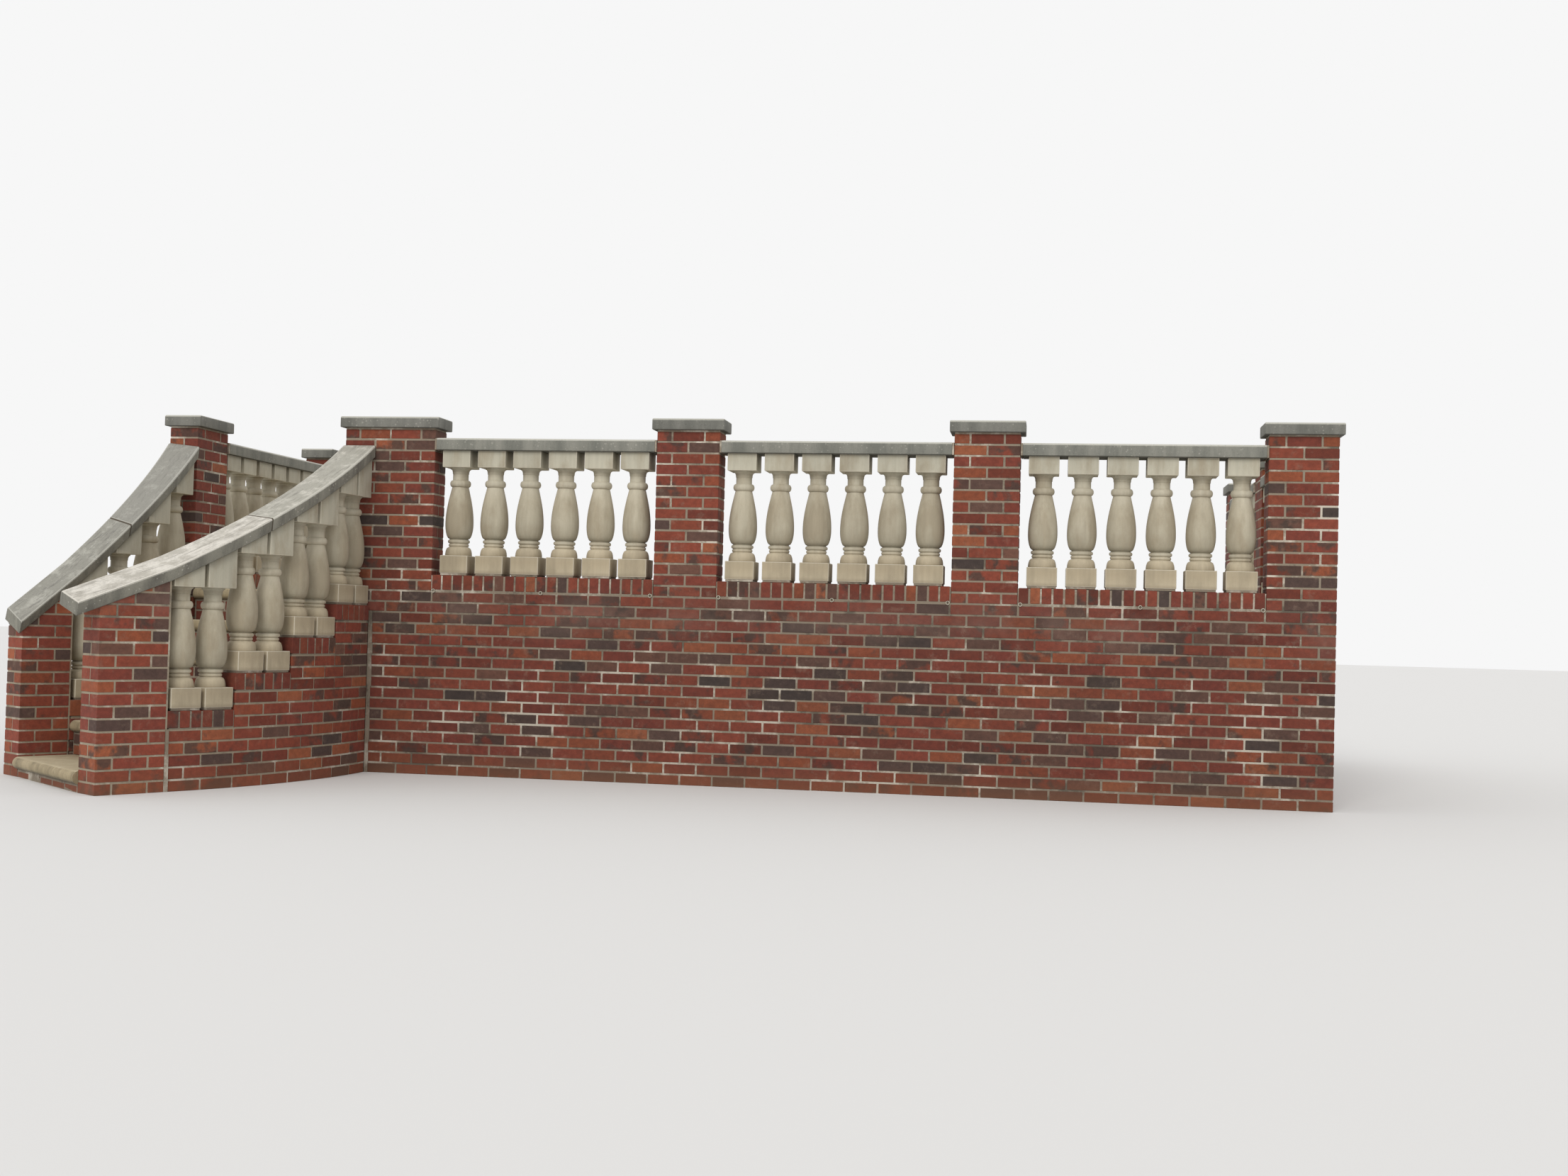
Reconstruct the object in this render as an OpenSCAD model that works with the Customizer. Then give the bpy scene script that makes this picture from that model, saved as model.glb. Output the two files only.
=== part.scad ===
// Stone balustrade round a brick terrace, with a curved stair that climbs to it
// between stepped brick cheeks. Millimetres. +Z is up and the front faces -Y.
// The origin is on the underside of the front wall, at the middle of its length
// and of its thickness.

/* [Brickwork] */
// Thickness of every wall, pier and cheek, which is one brick long
wall_t = 194; // [180:1:240]
// Height of one course of brick with its bed joint
course_h = 67.73; // [56:0.01:82]
// Courses between the footing and the top of the lowest tread, rounded down
foot_courses = 2; // [2:1:5]
// Height of the row of bricks on edge that caps the low walls
sill_h = 100; // [80:1:120]

/* [Front] */
// Width of the corner pier at the head of the stair
corner_pier_w = 598; // [420:1:800]
// Width of the other front piers
pier_w = 396; // [300:1:520]
// Clear length of each front bay
front_bay = 1426; // [1185:1:1760]
// Clear space between a front pier and the block of the next baluster
front_end_gap = 48; // [20:1:90]

/* [Returns] */
// Depth of the terrace, from the front face to the building behind it
terrace_d = 4367; // [3900:1:5300]
// Length of a return pier along its side wall
return_pier_l = 397; // [300:1:480]
// Clear space between a return pier and the block of the next baluster
return_end_gap = 24; // [10:1:60]

/* [Balustrade] */
// Largest distance between the middles of two balusters in a level bay
baluster_pitch = 231; // [225:1:290]
// Width of the square block and plinth of a baluster
block_w = 180; // [150:1:182]
// Height of a baluster, from its plinth to the rail
baluster_h = 772; // [640:1:930]
// Height of the block under the rail
block_h = 106; // [80:1:140]
// Height of the square plinth
plinth_h = 112; // [80:1:140]
// Mortar bed under a plinth
bed_t = 12; // [6:1:16]
// Largest radius of the vase
vase_r = 86; // [70:0.5:88]
// Radius of the neck above the vase
neck_r = 48.5; // [38:0.5:56]
// Width of a rail, across the wall
rail_w = 220; // [200:1:260]
// Thickness of a rail
rail_t = 76; // [60:1:95]
// Cut on the upper arrises of the rails and caps
arris = 8; // [3:0.5:14]
// Mortar joint between a rail and a pier
rail_joint = 10; // [5:0.5:16]
// Height of a pier above the rail, up to the cap
pier_neck_h = 61; // [40:1:120]
// Thickness of a pier cap
cap_t = 70; // [50:1:90]
// Overhang of a pier cap
cap_over = 27; // [15:1:40]

/* [Stair] */
// Radius of the stair face of the near cheek
stair_r = 2598; // [2300:1:3120]
// Clear width between the two cheeks
stair_w = 1004; // [836:1:1205]
// Angle of one step about the centre of the curve
step_a = 8.45; // [8:0.01:10.2]
// Steps in each cheek
cheek_steps = 4; // [4:1:4]
// Courses in one rise
rise_courses = 3; // [3:1:3]
// Thickness of a tread
tread_t = 72; // [55:1:86]
// How far a nosing stands out over the riser under it
nosing = 30; // [15:1:40]
// How far the terrace floor lies below the sill bed
floor_drop = 18; // [5:1:40]
// Length of the near newel
near_newel_l = 394; // [330:1:480]
// Length of the far newel
far_newel_l = 295; // [245:1:360]
// Clear space between a stair baluster's block and the brick above its step
step_block_gap = 3; // [2:0.5:8]
// Clear space between the two blocks on a step of the near cheek
pair_gap = 11; // [4:0.5:14]

/* [Handrails] */
// How far the near handrail ends below the level rail, under both
near_rail_drop = 46; // [30:1:80]
// Dip of the near handrail halfway down, below a straight slope
near_rail_sag = 22; // [0:1:30]
// Slope of the near handrail over its newel
near_foot_slope = 0.39; // [0.35:0.01:0.52]
// How far the near handrail runs past its newel
near_rail_past = 130; // [40:1:160]
// Outward lean of the near handrail at its foot, in degrees
near_rail_lean = 16; // [0:0.5:20]
// How far the far handrail ends below the level rail, under both
far_rail_drop = 49; // [30:1:60]
// Extra fall of the far handrail, beyond the fall of the steps
far_rail_dip = 30; // [10:1:50]
// Slope of the far handrail over its newel
far_foot_slope = 0.88; // [0.6:0.01:1]
// How far the far handrail runs past its newel
far_rail_past = 20; // [5:1:60]
// Outward lean of the far handrail at its head, in degrees
far_head_lean = 6; // [0:0.5:10]
// Outward lean of the far handrail at its foot, in degrees
far_rail_lean = 22; // [10:0.5:24]
// Angle of the joint between the two stones of the near handrail
near_joint_a = 21; // [12:0.1:28]
// Angle of the joint between the two stones of the far handrail
far_joint_a = 21.6; // [12:0.1:28]
// Width of the mortar joints in the handrails
hand_joint = 8; // [4:0.5:14]

/* [Terrace] */
// Thickness of the terrace floor
floor_t = 100; // [60:1:100]
// Outer radius of a weep tube
weep_r = 12; // [9:0.5:16]
// Inner radius of a weep tube
weep_bore_r = 8; // [5:0.5:8]
// How far a weep tube stands out of the wall
weep_l = 6; // [3:0.5:10]
// Distance of the outer weep tubes from the ends of a bay
weep_inset = 16; // [14:1:60]

/* [Hidden] */
eps = 1;
// Clearance between a curved tread or riser and the cheeks
fit = 0.4;
rise = rise_courses * course_h;
total_rises = cheek_steps + 1;
base_h = course_h * (foot_courses + rise_courses * total_rises);
sill_top = base_h + sill_h;
plinth_z = sill_top + bed_t;
rail_z = plinth_z + baluster_h;
pier_h = sill_h + bed_t + baluster_h + rail_t + pier_neck_h;
pier_top = base_h + pier_h;
floor_z = base_h - floor_drop;
front_l = corner_pier_w + 3 * front_bay + 3 * pier_w;
x0 = -front_l / 2;
x1 = front_l / 2;
y0 = -wall_t / 2;
pier_x = [x0, x0 + corner_pier_w + front_bay, x0 + corner_pier_w + 2 * front_bay + pier_w, x1 - pier_w];
pier_ws = [corner_pier_w, pier_w, pier_w, pier_w];
left_x = x0 - stair_w - wall_t;
right_x = x1 - wall_t;
return_bay = (terrace_d - 3 * return_pier_l) / 2;
mid_y = y0 + return_pier_l + return_bay;
back_y = y0 + terrace_d - return_pier_l;
right_front_bay = mid_y - y0 - wall_t;
// Centre of the stair curve, in the plane of the front face
cx = x0 - stair_r;
far_r = stair_r - stair_w;
end_a = cheek_steps * step_a;
near_mid_r = stair_r + wall_t / 2;
far_mid_r = far_r - wall_t / 2;
mid_r = (far_r + stair_r) / 2;
// Length of one step on the middle line, and the angle that a riser is set back
going = mid_r * step_a * PI / 180;
set_back_a = nosing / mid_r * 180 / PI;
// Angles of the two balusters on a step of the near cheek, from the step above
block_in_r = near_mid_r - block_w / 2;
first_baluster_a = atan((block_w / 2 + step_block_gap) / block_in_r);
pair_a = 2 * atan((block_w + pair_gap) / 2 / block_in_r);
turned_h = baluster_h - block_h - plinth_h;
RAIL_SECTION = [
  [-rail_w / 2, 0], [rail_w / 2, 0], [rail_w / 2, rail_t - arris],
  [rail_w / 2 - arris, rail_t], [-rail_w / 2 + arris, rail_t], [-rail_w / 2, rail_t - arris]
];

// Underside level of sill, for step k counted up from 1 at the foot
function step_z(k) = base_h - rise * (cheek_steps + 1 - k);
// Top of tread k, where 0 is the lowest and the last is the landing
function tread_z(k) = floor_z - rise * (total_rises - k);
// Point at radius r and angle a down the stair, and t beyond the last step along the tangent
function on_stair(r, a, t) = [
  cx + r * cos(a) - t * sin(a),
  y0 - r * sin(a) - t * cos(a)
];
// Underside of the handrails
function near_rail_z(a, t) =
  rail_z - near_rail_drop - rise * a / step_a
  - near_rail_sag * sin(180 * min(max(a, 0), end_a) / end_a) - near_foot_slope * t;
function far_rail_z(a, t) =
  rail_z - far_rail_drop - (rise / step_a + far_rail_dip / end_a) * a - far_foot_slope * t;
function rail_under(side, a, t) = side == "near" ? near_rail_z(a, t) : far_rail_z(a, t);
// Outward lean of a handrail, which grows down the stair
function rail_lean(side, a) = let (
  head = side == "near" ? 0 : far_head_lean,
  foot = side == "near" ? near_rail_lean : far_rail_lean,
  u = min(max(a, 0), end_a) / end_a
) head + (foot - head) * u * u;
// Underside of a leaning handrail at distance w outwards of its middle
function leaning_under(side, a, t, w) = rail_under(side, a, t) - w * tan(rail_lean(side, a));
function side_r(side) = side == "near" ? near_mid_r : far_mid_r;
// Angle down the stair of the nosing of tread k
function nose_a(k) = (cheek_steps + 1 - k) * step_a;
// Corners of the lowest step, as distance beyond the last step and radius. Its
// back lies on the face of the riser behind it.
function foot_corners(out) = [
  [-(far_r + fit) * sin(set_back_a), (far_r + fit) * cos(set_back_a)],
  [0, far_r + fit],
  [far_newel_l + out, far_r + fit],
  [near_newel_l + out, stair_r - fit],
  [0, stair_r - fit],
  [-(stair_r - fit) * sin(set_back_a), (stair_r - fit) * cos(set_back_a)]
];
// Smooth turn from value a to value b as u runs from 0 to 1
function ease(a, b, u) = a + (b - a) * (1 - cos(180 * u)) / 2;

// Outline of the turned part, from the plinth up, as radius and height
function turned_outline() = let (h = turned_h, p = plinth_h, ring_r = neck_r + 17.5, foot_r = neck_r + 4) concat(
  [[0, p - 10], [vase_r, p - 10], [vase_r, p + 0.004 * h]],
  [for (u = [0.2:0.2:1]) [ring_r - 5 + (vase_r - ring_r + 5) * sqrt(1 - u * u), p + h * (0.004 + 0.095 * u)]],
  [[ring_r - 7, p + 0.105 * h], [ring_r - 7, p + 0.132 * h], [ring_r - 2, p + 0.137 * h]],
  [[ring_r, p + 0.148 * h], [ring_r, p + 0.168 * h], [ring_r - 4, p + 0.181 * h], [foot_r, p + 0.190 * h]],
  [for (u = [0.125:0.125:1]) [foot_r + (vase_r - foot_r) * sqrt(1 - (1 - u) * (1 - u)), p + h * (0.190 + 0.202 * u)]],
  [for (u = [0.125:0.125:1]) [neck_r + 1 + (vase_r - neck_r - 1) * cos(90 * u), p + h * (0.392 + 0.382 * u)]],
  [for (u = [-60:30:60]) [neck_r + 15 * cos(u), p + h * (0.8135 + 0.038 * sin(u))]],
  [[neck_r, p + 0.852 * h], [neck_r, p + 0.931 * h], [neck_r + 2, p + 0.934 * h]],
  [for (u = [0.25:0.25:1]) [neck_r + 2 + (0.85 * vase_r - neck_r - 2) * (1 - sqrt(1 - u * u)), p + h * (0.936 + 0.055 * u)]],
  [[0.85 * vase_r, p + h + 10], [0, p + h + 10]]
);

module turned_part() {
  rotate_extrude($fn = 48)
    polygon(turned_outline());
}

module plinth() {
  translate([-block_w / 2 + 5, -block_w / 2 + 5, -bed_t])
    cube([block_w - 10, block_w - 10, bed_t + 1]);
  translate([-block_w / 2, -block_w / 2, 0])
    cube([block_w, block_w, plinth_h]);
}

module baluster() {
  color("wheat") union() {
    turned_part();
    plinth();
    translate([-block_w / 2, -block_w / 2, baluster_h - block_h])
      cube([block_w, block_w, block_h]);
  }
}

// Row of balusters along +X from the origin, in a bay of a given length
module baluster_row(bay, gap) {
  spaces = ceil((bay - 2 * gap - block_w) / baluster_pitch);
  pitch = (bay - 2 * gap - block_w) / spaces;
  for (i = [0:spaces])
    translate([gap + block_w / 2 + i * pitch, 0, plinth_z])
      baluster();
}

// Straight rail along +X, between the piers of a bay
module rail(bay) {
  color("lightgray")
    translate([rail_joint, 0, rail_z])
      rotate([90, 0, 90])
        linear_extrude(height = bay - 2 * rail_joint)
          polygon(RAIL_SECTION);
}

module brick_block(x, y, z, sx, sy, sz) {
  color("firebrick")
    translate([x, y, z])
      cube([sx, sy, sz]);
}

// Cap over a pier whose plan corner is at x and y
module cap(x, y, sx, sy) {
  color("lightgray")
    translate([x - cap_over, y - cap_over, pier_top])
      union() {
        cube([sx + 2 * cap_over, sy + 2 * cap_over, cap_t - arris]);
        translate([0, arris, 0])
          rotate([90, 0, 90])
            linear_extrude(height = sx + 2 * cap_over)
              polygon([
                [-arris, cap_t - arris], [sy + 2 * cap_over - arris, cap_t - arris],
                [sy + 2 * cap_over - 2 * arris, cap_t], [0, cap_t]
              ]);
      }
}

module front_base_wall() {
  brick_block(x0, y0, 0, front_l, wall_t, base_h);
}

module left_base_wall() {
  brick_block(left_x, y0, 0, wall_t, terrace_d, base_h);
}

module right_base_wall() {
  brick_block(right_x, y0 + wall_t, 0, wall_t, terrace_d - wall_t, base_h);
}

module front_pier(i) {
  brick_block(pier_x[i], y0, base_h, pier_ws[i], wall_t, pier_h);
}

module stair_pier() {
  brick_block(left_x, y0, base_h, wall_t, return_pier_l, pier_h);
}

module left_piers() {
  brick_block(left_x, mid_y, base_h, wall_t, return_pier_l, pier_h);
  brick_block(left_x, back_y, base_h, wall_t, return_pier_l, pier_h);
}

module right_piers() {
  brick_block(right_x, mid_y, base_h, wall_t, return_pier_l, pier_h);
  brick_block(right_x, back_y, base_h, wall_t, return_pier_l, pier_h);
}

module front_caps() {
  for (i = [0:3])
    cap(pier_x[i], y0, pier_ws[i], wall_t);
}

module left_caps() {
  cap(left_x, y0, wall_t, return_pier_l);
  cap(left_x, mid_y, wall_t, return_pier_l);
  // The back cap stops at the building
  intersection() {
    cap(left_x, back_y, wall_t, return_pier_l);
    translate([left_x - 500, back_y - 500, 0])
      cube([1000 + wall_t, 500 + return_pier_l, 4000]);
  }
}

module right_caps() {
  cap(right_x, mid_y, wall_t, return_pier_l);
  intersection() {
    cap(right_x, back_y, wall_t, return_pier_l);
    translate([right_x - 500, back_y - 500, 0])
      cube([1000 + wall_t, 500 + return_pier_l, 4000]);
  }
}

module front_sill(i) {
  brick_block(pier_x[i] + pier_ws[i], y0, base_h, front_bay, wall_t, sill_h);
}

module left_sills() {
  brick_block(left_x, y0 + return_pier_l, base_h, wall_t, return_bay, sill_h);
  brick_block(left_x, mid_y + return_pier_l, base_h, wall_t, return_bay, sill_h);
}

module right_sills() {
  brick_block(right_x, y0 + wall_t, base_h, wall_t, right_front_bay, sill_h);
  brick_block(right_x, mid_y + return_pier_l, base_h, wall_t, return_bay, sill_h);
}

module front_rail(i) {
  translate([pier_x[i] + pier_ws[i], 0, 0])
    rail(front_bay);
}

// Turns a row that runs along +X so that it runs along +Y in a side wall
module along_return(x, y) {
  translate([x + wall_t / 2, y, 0])
    rotate([0, 0, 90])
      children();
}

module left_rails() {
  along_return(left_x, y0 + return_pier_l) rail(return_bay);
  along_return(left_x, mid_y + return_pier_l) rail(return_bay);
}

module right_rails() {
  along_return(right_x, y0 + wall_t) rail(right_front_bay);
  along_return(right_x, mid_y + return_pier_l) rail(return_bay);
}

module front_balusters(i) {
  translate([pier_x[i] + pier_ws[i], 0, 0])
    baluster_row(front_bay, front_end_gap);
}

module left_balusters() {
  along_return(left_x, y0 + return_pier_l)
    baluster_row(return_bay, return_end_gap);
  along_return(left_x, mid_y + return_pier_l)
    baluster_row(return_bay, return_end_gap);
}

module right_balusters() {
  along_return(right_x, y0 + wall_t)
    baluster_row(right_front_bay, return_end_gap);
  along_return(right_x, mid_y + return_pier_l)
    baluster_row(return_bay, return_end_gap);
}

// Part of a ring about the stair centre, from angle a down to angle b
module ring_sector(r_in, r_out, a, b, z, h) {
  translate([cx, y0, z])
    rotate([0, 0, -b])
      rotate_extrude(angle = b - a, $fn = 96)
        translate([r_in, 0])
          square([r_out - r_in, h]);
}

// Brick wall beside the stair, with one step down for each step of the stair
module cheek(r_in) {
  color("firebrick")
    difference() {
      ring_sector(r_in, r_in + wall_t, 0, end_a, 0, step_z(cheek_steps));
      for (k = [1:cheek_steps - 1])
        ring_sector(
          r_in - 40, r_in + wall_t + 40, (cheek_steps - k) * step_a, end_a + 2,
          step_z(k), base_h
        );
    }
}

module near_cheek() {
  cheek(stair_r);
}

module far_cheek() {
  cheek(far_r - wall_t);
}

module step_sills(r_in) {
  color("indianred")
    for (k = [1:cheek_steps])
      ring_sector(
        r_in, r_in + wall_t, (cheek_steps - k) * step_a, (cheek_steps - k + 1) * step_a,
        step_z(k), sill_h
      );
}

module near_step_sills() {
  step_sills(stair_r);
}

module far_step_sills() {
  step_sills(far_r - wall_t);
}

// Puts a shape drawn as distance beyond the last step, radius and height on the stair
module beyond_steps() {
  translate([cx, y0, 0])
    rotate([0, 0, -end_a - 90])
      children();
}

// Newel whose top follows the slope of the handrail above it
module newel(side, length) {
  r_mid = side_r(side);
  places = [[0, -wall_t / 2], [length, -wall_t / 2], [length, wall_t / 2], [0, wall_t / 2]];
  color("firebrick")
    beyond_steps()
      polyhedron(
        points = concat(
          [for (p = places) [p[0], r_mid + p[1], 0]],
          [for (p = places) [p[0], r_mid + p[1], leaning_under(side, end_a, p[0], p[1])]]
        ),
        faces = [[0, 1, 2, 3], [7, 6, 5, 4], [0, 4, 5, 1], [1, 5, 6, 2], [2, 6, 7, 3], [3, 7, 4, 0]]
      );
}

module near_newel() {
  newel("near", near_newel_l);
}

module far_newel() {
  newel("far", far_newel_l);
}

// One corner row of the handrail, as a closed ring of points
function rail_ring(side, a, t) = let (
  r = side_r(side), z = rail_under(side, a, t), q = rail_lean(side, a)
) [
  for (p = RAIL_SECTION)
    concat(on_stair(r + p[0] * cos(q) + p[1] * sin(q), a, t), [z - p[0] * sin(q) + p[1] * cos(q)])
];

// Sweeps the rail section through a list of places, each an angle and a distance
module swept_rail(side, places) {
  n = len(RAIL_SECTION);
  m = len(places);
  pts = [for (q = places) for (p = rail_ring(side, q[0], q[1])) p];
  ends = [[for (i = [0:n - 1]) n - 1 - i], [for (i = [0:n - 1]) (m - 1) * n + i]];
  walls = [
    for (j = [0:m - 2]) for (i = [0:n - 1]) for (s = [0, 1])
      s == 0
        ? [j * n + i, j * n + (i + 1) % n, (j + 1) * n + (i + 1) % n]
        : [j * n + i, (j + 1) * n + (i + 1) % n, (j + 1) * n + i]
  ];
  faces = [for (f = concat(ends, walls)) [for (i = [len(f) - 1:-1:0]) f[i]]];
  color("lightgray")
    polyhedron(points = pts, faces = faces);
}

// Angle that a joint of a given width takes up on the middle line of a side
function joint_angle(side, width) = width / side_r(side) * 180 / PI;

module handrail_upper(side, joint_at) {
  a0 = joint_angle(side, rail_joint);
  a1 = joint_at - joint_angle(side, hand_joint / 2);
  swept_rail(side, [for (i = [0:10]) [a0 + (a1 - a0) * i / 10, 0]]);
}

module handrail_lower(side, joint_at, length) {
  a0 = joint_at + joint_angle(side, hand_joint / 2);
  swept_rail(side, concat([for (i = [0:8]) [a0 + (end_a - a0) * i / 8, 0]], [[end_a, length]]));
}

module near_handrail_upper() {
  handrail_upper("near", near_joint_a);
}

module near_handrail_lower() {
  handrail_lower("near", near_joint_a, near_newel_l + near_rail_past);
}

module far_handrail_upper() {
  handrail_upper("far", far_joint_a);
}

module far_handrail_lower() {
  handrail_lower("far", far_joint_a, far_newel_l + far_rail_past);
}

// Block whose top lies under the sloping handrail, centred at angle a
module sloping_block(side, a, z_under) {
  r = side_r(side);
  w = block_w / 2;
  corners = [[-w, -w], [w, -w], [w, w], [-w, w]];
  function corner_z(p) =
    let (da = atan(-p[1] / (r + p[0])), w = norm([r + p[0], p[1]]) - r)
    max(leaning_under(side, a + da, 0, w) - 0.8, z_under + 2);
  pts = concat(
    [for (p = corners) [p[0], p[1], 0]],
    [for (p = corners) [p[0], p[1], corner_z(p) - z_under]],
    [[0, 0, corner_z([0, 0]) - z_under]]
  );
  polyhedron(
    points = pts,
    faces = [
      [0, 1, 2, 3], [8, 5, 4], [8, 6, 5], [8, 7, 6], [8, 4, 7],
      [0, 4, 5, 1], [1, 5, 6, 2], [2, 6, 7, 3], [3, 7, 4, 0]
    ]
  );
}

module stair_baluster(side, k, a) {
  z = step_z(k) + sill_h + bed_t;
  color("wheat")
    translate([cx + side_r(side) * cos(a), y0 - side_r(side) * sin(a), z])
      rotate([0, 0, -a])
        union() {
          plinth();
          turned_part_below_rail();
          translate([0, 0, baluster_h - block_h])
            sloping_block(side, a, z + baluster_h - block_h);
        }
}

// Turned part that stops level with the underside of the block
module turned_part_below_rail() {
  rotate_extrude($fn = 48)
    polygon([for (p = turned_outline()) [p[0], min(p[1], baluster_h - block_h)]]);
}

module near_stair_balusters() {
  for (k = [1:cheek_steps])
    for (i = [0, 1])
      stair_baluster("near", k, (cheek_steps - k) * step_a + first_baluster_a + i * pair_a);
}

module far_stair_balusters() {
  for (k = [1:cheek_steps])
    stair_baluster("far", k, (cheek_steps - k + 0.5) * step_a);
}

// Outline of a tread seen from its end, with a half-round nosing at the left
function nose_outline(depth) = concat(
  [for (a = [90:15:270]) [tread_t / 2 * (1 + cos(a)), tread_t / 2 * (1 + sin(a))]],
  [[depth, 0], [depth, tread_t]]
);

// Bar with a half-round nosing on its front, running along +X
module nosing_bar(length, depth) {
  rotate([90, 0, 90])
    linear_extrude(height = length)
      polygon(nose_outline(depth));
}

module curved_tread(k) {
  color("tan")
    intersection() {
      translate([cx, y0, tread_z(k) - tread_t])
        rotate([0, 0, -nose_a(k)])
          translate([far_r - 60, 0, 0])
            nosing_bar(stair_w + 120, 2 * going);
      ring_sector(
        far_r + fit, stair_r - fit,
        k < cheek_steps ? nose_a(k) - step_a - set_back_a : -3, nose_a(k) + 4,
        tread_z(k) - 2 * tread_t, 3 * tread_t
      );
      translate([cx, y0 + nosing - 4 * stair_r, 0])
        cube([2 * stair_r, 4 * stair_r, 2 * base_h]);
    }
}

module lowest_tread() {
  c = foot_corners(0);
  skew = atan((c[3][0] - c[2][0]) / (c[3][1] - c[2][1]));
  front_l0 = norm(c[3] - c[2]);
  color("tan")
    translate([0, 0, tread_z(0) - tread_t])
      beyond_steps()
        intersection() {
          translate([c[2][0] + nosing, c[2][1], 0])
            rotate([0, 0, 90 - skew])
              translate([-60, 0, 0])
                nosing_bar(front_l0 + 120, 3 * near_newel_l);
          linear_extrude(height = 3 * tread_t, center = true)
            polygon(foot_corners(2 * nosing));
        }
}

module landing_tread() {
  color("tan")
    translate([x0 - stair_w + fit, y0, floor_z - tread_t])
      nosing_bar(stair_w - 2 * fit, wall_t);
}

module treads() {
  lowest_tread();
  for (k = [1:cheek_steps])
    curved_tread(k);
  landing_tread();
}

// Brick body of the curved steps
module stair_core() {
  color("firebrick")
    difference() {
      ring_sector(
        far_r + fit, stair_r - fit, 0, nose_a(1) - set_back_a,
        0, tread_z(cheek_steps) - tread_t
      );
      for (k = [1:cheek_steps - 1])
        ring_sector(
          far_r - 40, stair_r + 40, nose_a(k + 1) - set_back_a, end_a + 2,
          tread_z(k) - tread_t, base_h
        );
    }
}

module foot_step_base() {
  color("firebrick")
    beyond_steps()
      linear_extrude(height = tread_z(0) - tread_t)
        polygon(foot_corners(0));
}

module landing_base() {
  brick_block(x0 - stair_w, y0 + nosing, 0, stair_w, wall_t - nosing, floor_z - tread_t);
}

module terrace_floor() {
  color("gainsboro")
    translate([x0 - stair_w, y0 + wall_t, floor_z - floor_t])
      cube([right_x - x0 + stair_w, terrace_d - wall_t, floor_t]);
}

module weep_tubes() {
  color("whitesmoke")
    for (i = [0:2])
      for (d = [weep_inset, front_bay / 2, front_bay - weep_inset])
        translate([pier_x[i] + pier_ws[i] + d, y0, base_h])
          rotate([90, 0, 0])
            difference() {
              cylinder(r = weep_r, h = weep_l, $fn = 32);
              translate([0, 0, -eps])
                cylinder(r = weep_bore_r, h = weep_l + 2 * eps, $fn = 32);
            }
}

front_base_wall();
left_base_wall();
right_base_wall();
front_pier(0);  // corner_pier
front_pier(1);  // front_pier_2
front_pier(2);  // front_pier_3
front_pier(3);  // front_pier_4
stair_pier();
left_piers();
right_piers();
front_caps();
left_caps();
right_caps();
front_sill(0);  // front_sill_1
front_sill(1);  // front_sill_2
front_sill(2);  // front_sill_3
left_sills();
right_sills();
front_rail(0);  // front_rail_1
front_rail(1);  // front_rail_2
front_rail(2);  // front_rail_3
left_rails();
right_rails();
front_balusters(0);  // front_balusters_1
front_balusters(1);  // front_balusters_2
front_balusters(2);  // front_balusters_3
left_balusters();
right_balusters();
near_cheek();
far_cheek();
near_newel();
far_newel();
near_step_sills();
far_step_sills();
near_handrail_upper();
near_handrail_lower();
far_handrail_upper();
far_handrail_lower();
near_stair_balusters();
far_stair_balusters();
treads();
stair_core();
foot_step_base();
landing_base();
terrace_floor();
weep_tubes();
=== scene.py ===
"""Looks of a stone balustrade round a brick terrace, with a curved stair.

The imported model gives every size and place. This script lays its brickwork brick
by brick, turns the balusters, eases the arrises of the stone and gives each piece
the finish of the real material.
"""

from __future__ import annotations

import logging
import math
import random
from dataclasses import dataclass, field
from enum import Enum
from functools import cache
from typing import Any, Callable, Iterator, Sequence

import bmesh
import bpy
from mathutils import Matrix, Vector


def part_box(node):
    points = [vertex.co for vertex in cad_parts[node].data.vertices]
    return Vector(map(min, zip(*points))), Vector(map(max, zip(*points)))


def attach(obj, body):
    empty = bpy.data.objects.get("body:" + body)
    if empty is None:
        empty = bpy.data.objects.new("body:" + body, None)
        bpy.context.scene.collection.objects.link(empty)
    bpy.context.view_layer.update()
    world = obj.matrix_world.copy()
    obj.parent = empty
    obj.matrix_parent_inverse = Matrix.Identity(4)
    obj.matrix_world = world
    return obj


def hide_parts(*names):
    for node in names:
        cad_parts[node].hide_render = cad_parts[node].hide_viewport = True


Socket = bpy.types.NodeSocket
Tree = bpy.types.NodeTree
Mesh = bmesh.types.BMesh

LOG = logging.getLogger("balustrade")
MM = 0.001
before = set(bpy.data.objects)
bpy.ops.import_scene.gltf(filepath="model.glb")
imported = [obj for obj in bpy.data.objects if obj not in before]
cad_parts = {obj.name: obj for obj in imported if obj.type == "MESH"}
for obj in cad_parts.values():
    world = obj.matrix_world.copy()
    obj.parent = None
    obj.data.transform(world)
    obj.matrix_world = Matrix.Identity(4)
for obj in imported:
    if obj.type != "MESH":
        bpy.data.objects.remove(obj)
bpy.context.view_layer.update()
# Height of the base wall, and of one course of its bricks with a joint.
WALL_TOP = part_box("front_base_wall")[1][2]
COURSE = 67.73 * MM
# The model's own axes.
LEVEL = Matrix.Identity(4)
# Heights between which the damp in the wall gives out.
DAMP = (1.1, 1.3)
# Angles between faces of a stone: below the first they are one face, and above the
# second the arris between them is eased.
SAME_FACE, SHARP = math.radians(0.5), math.radians(25)


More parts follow.
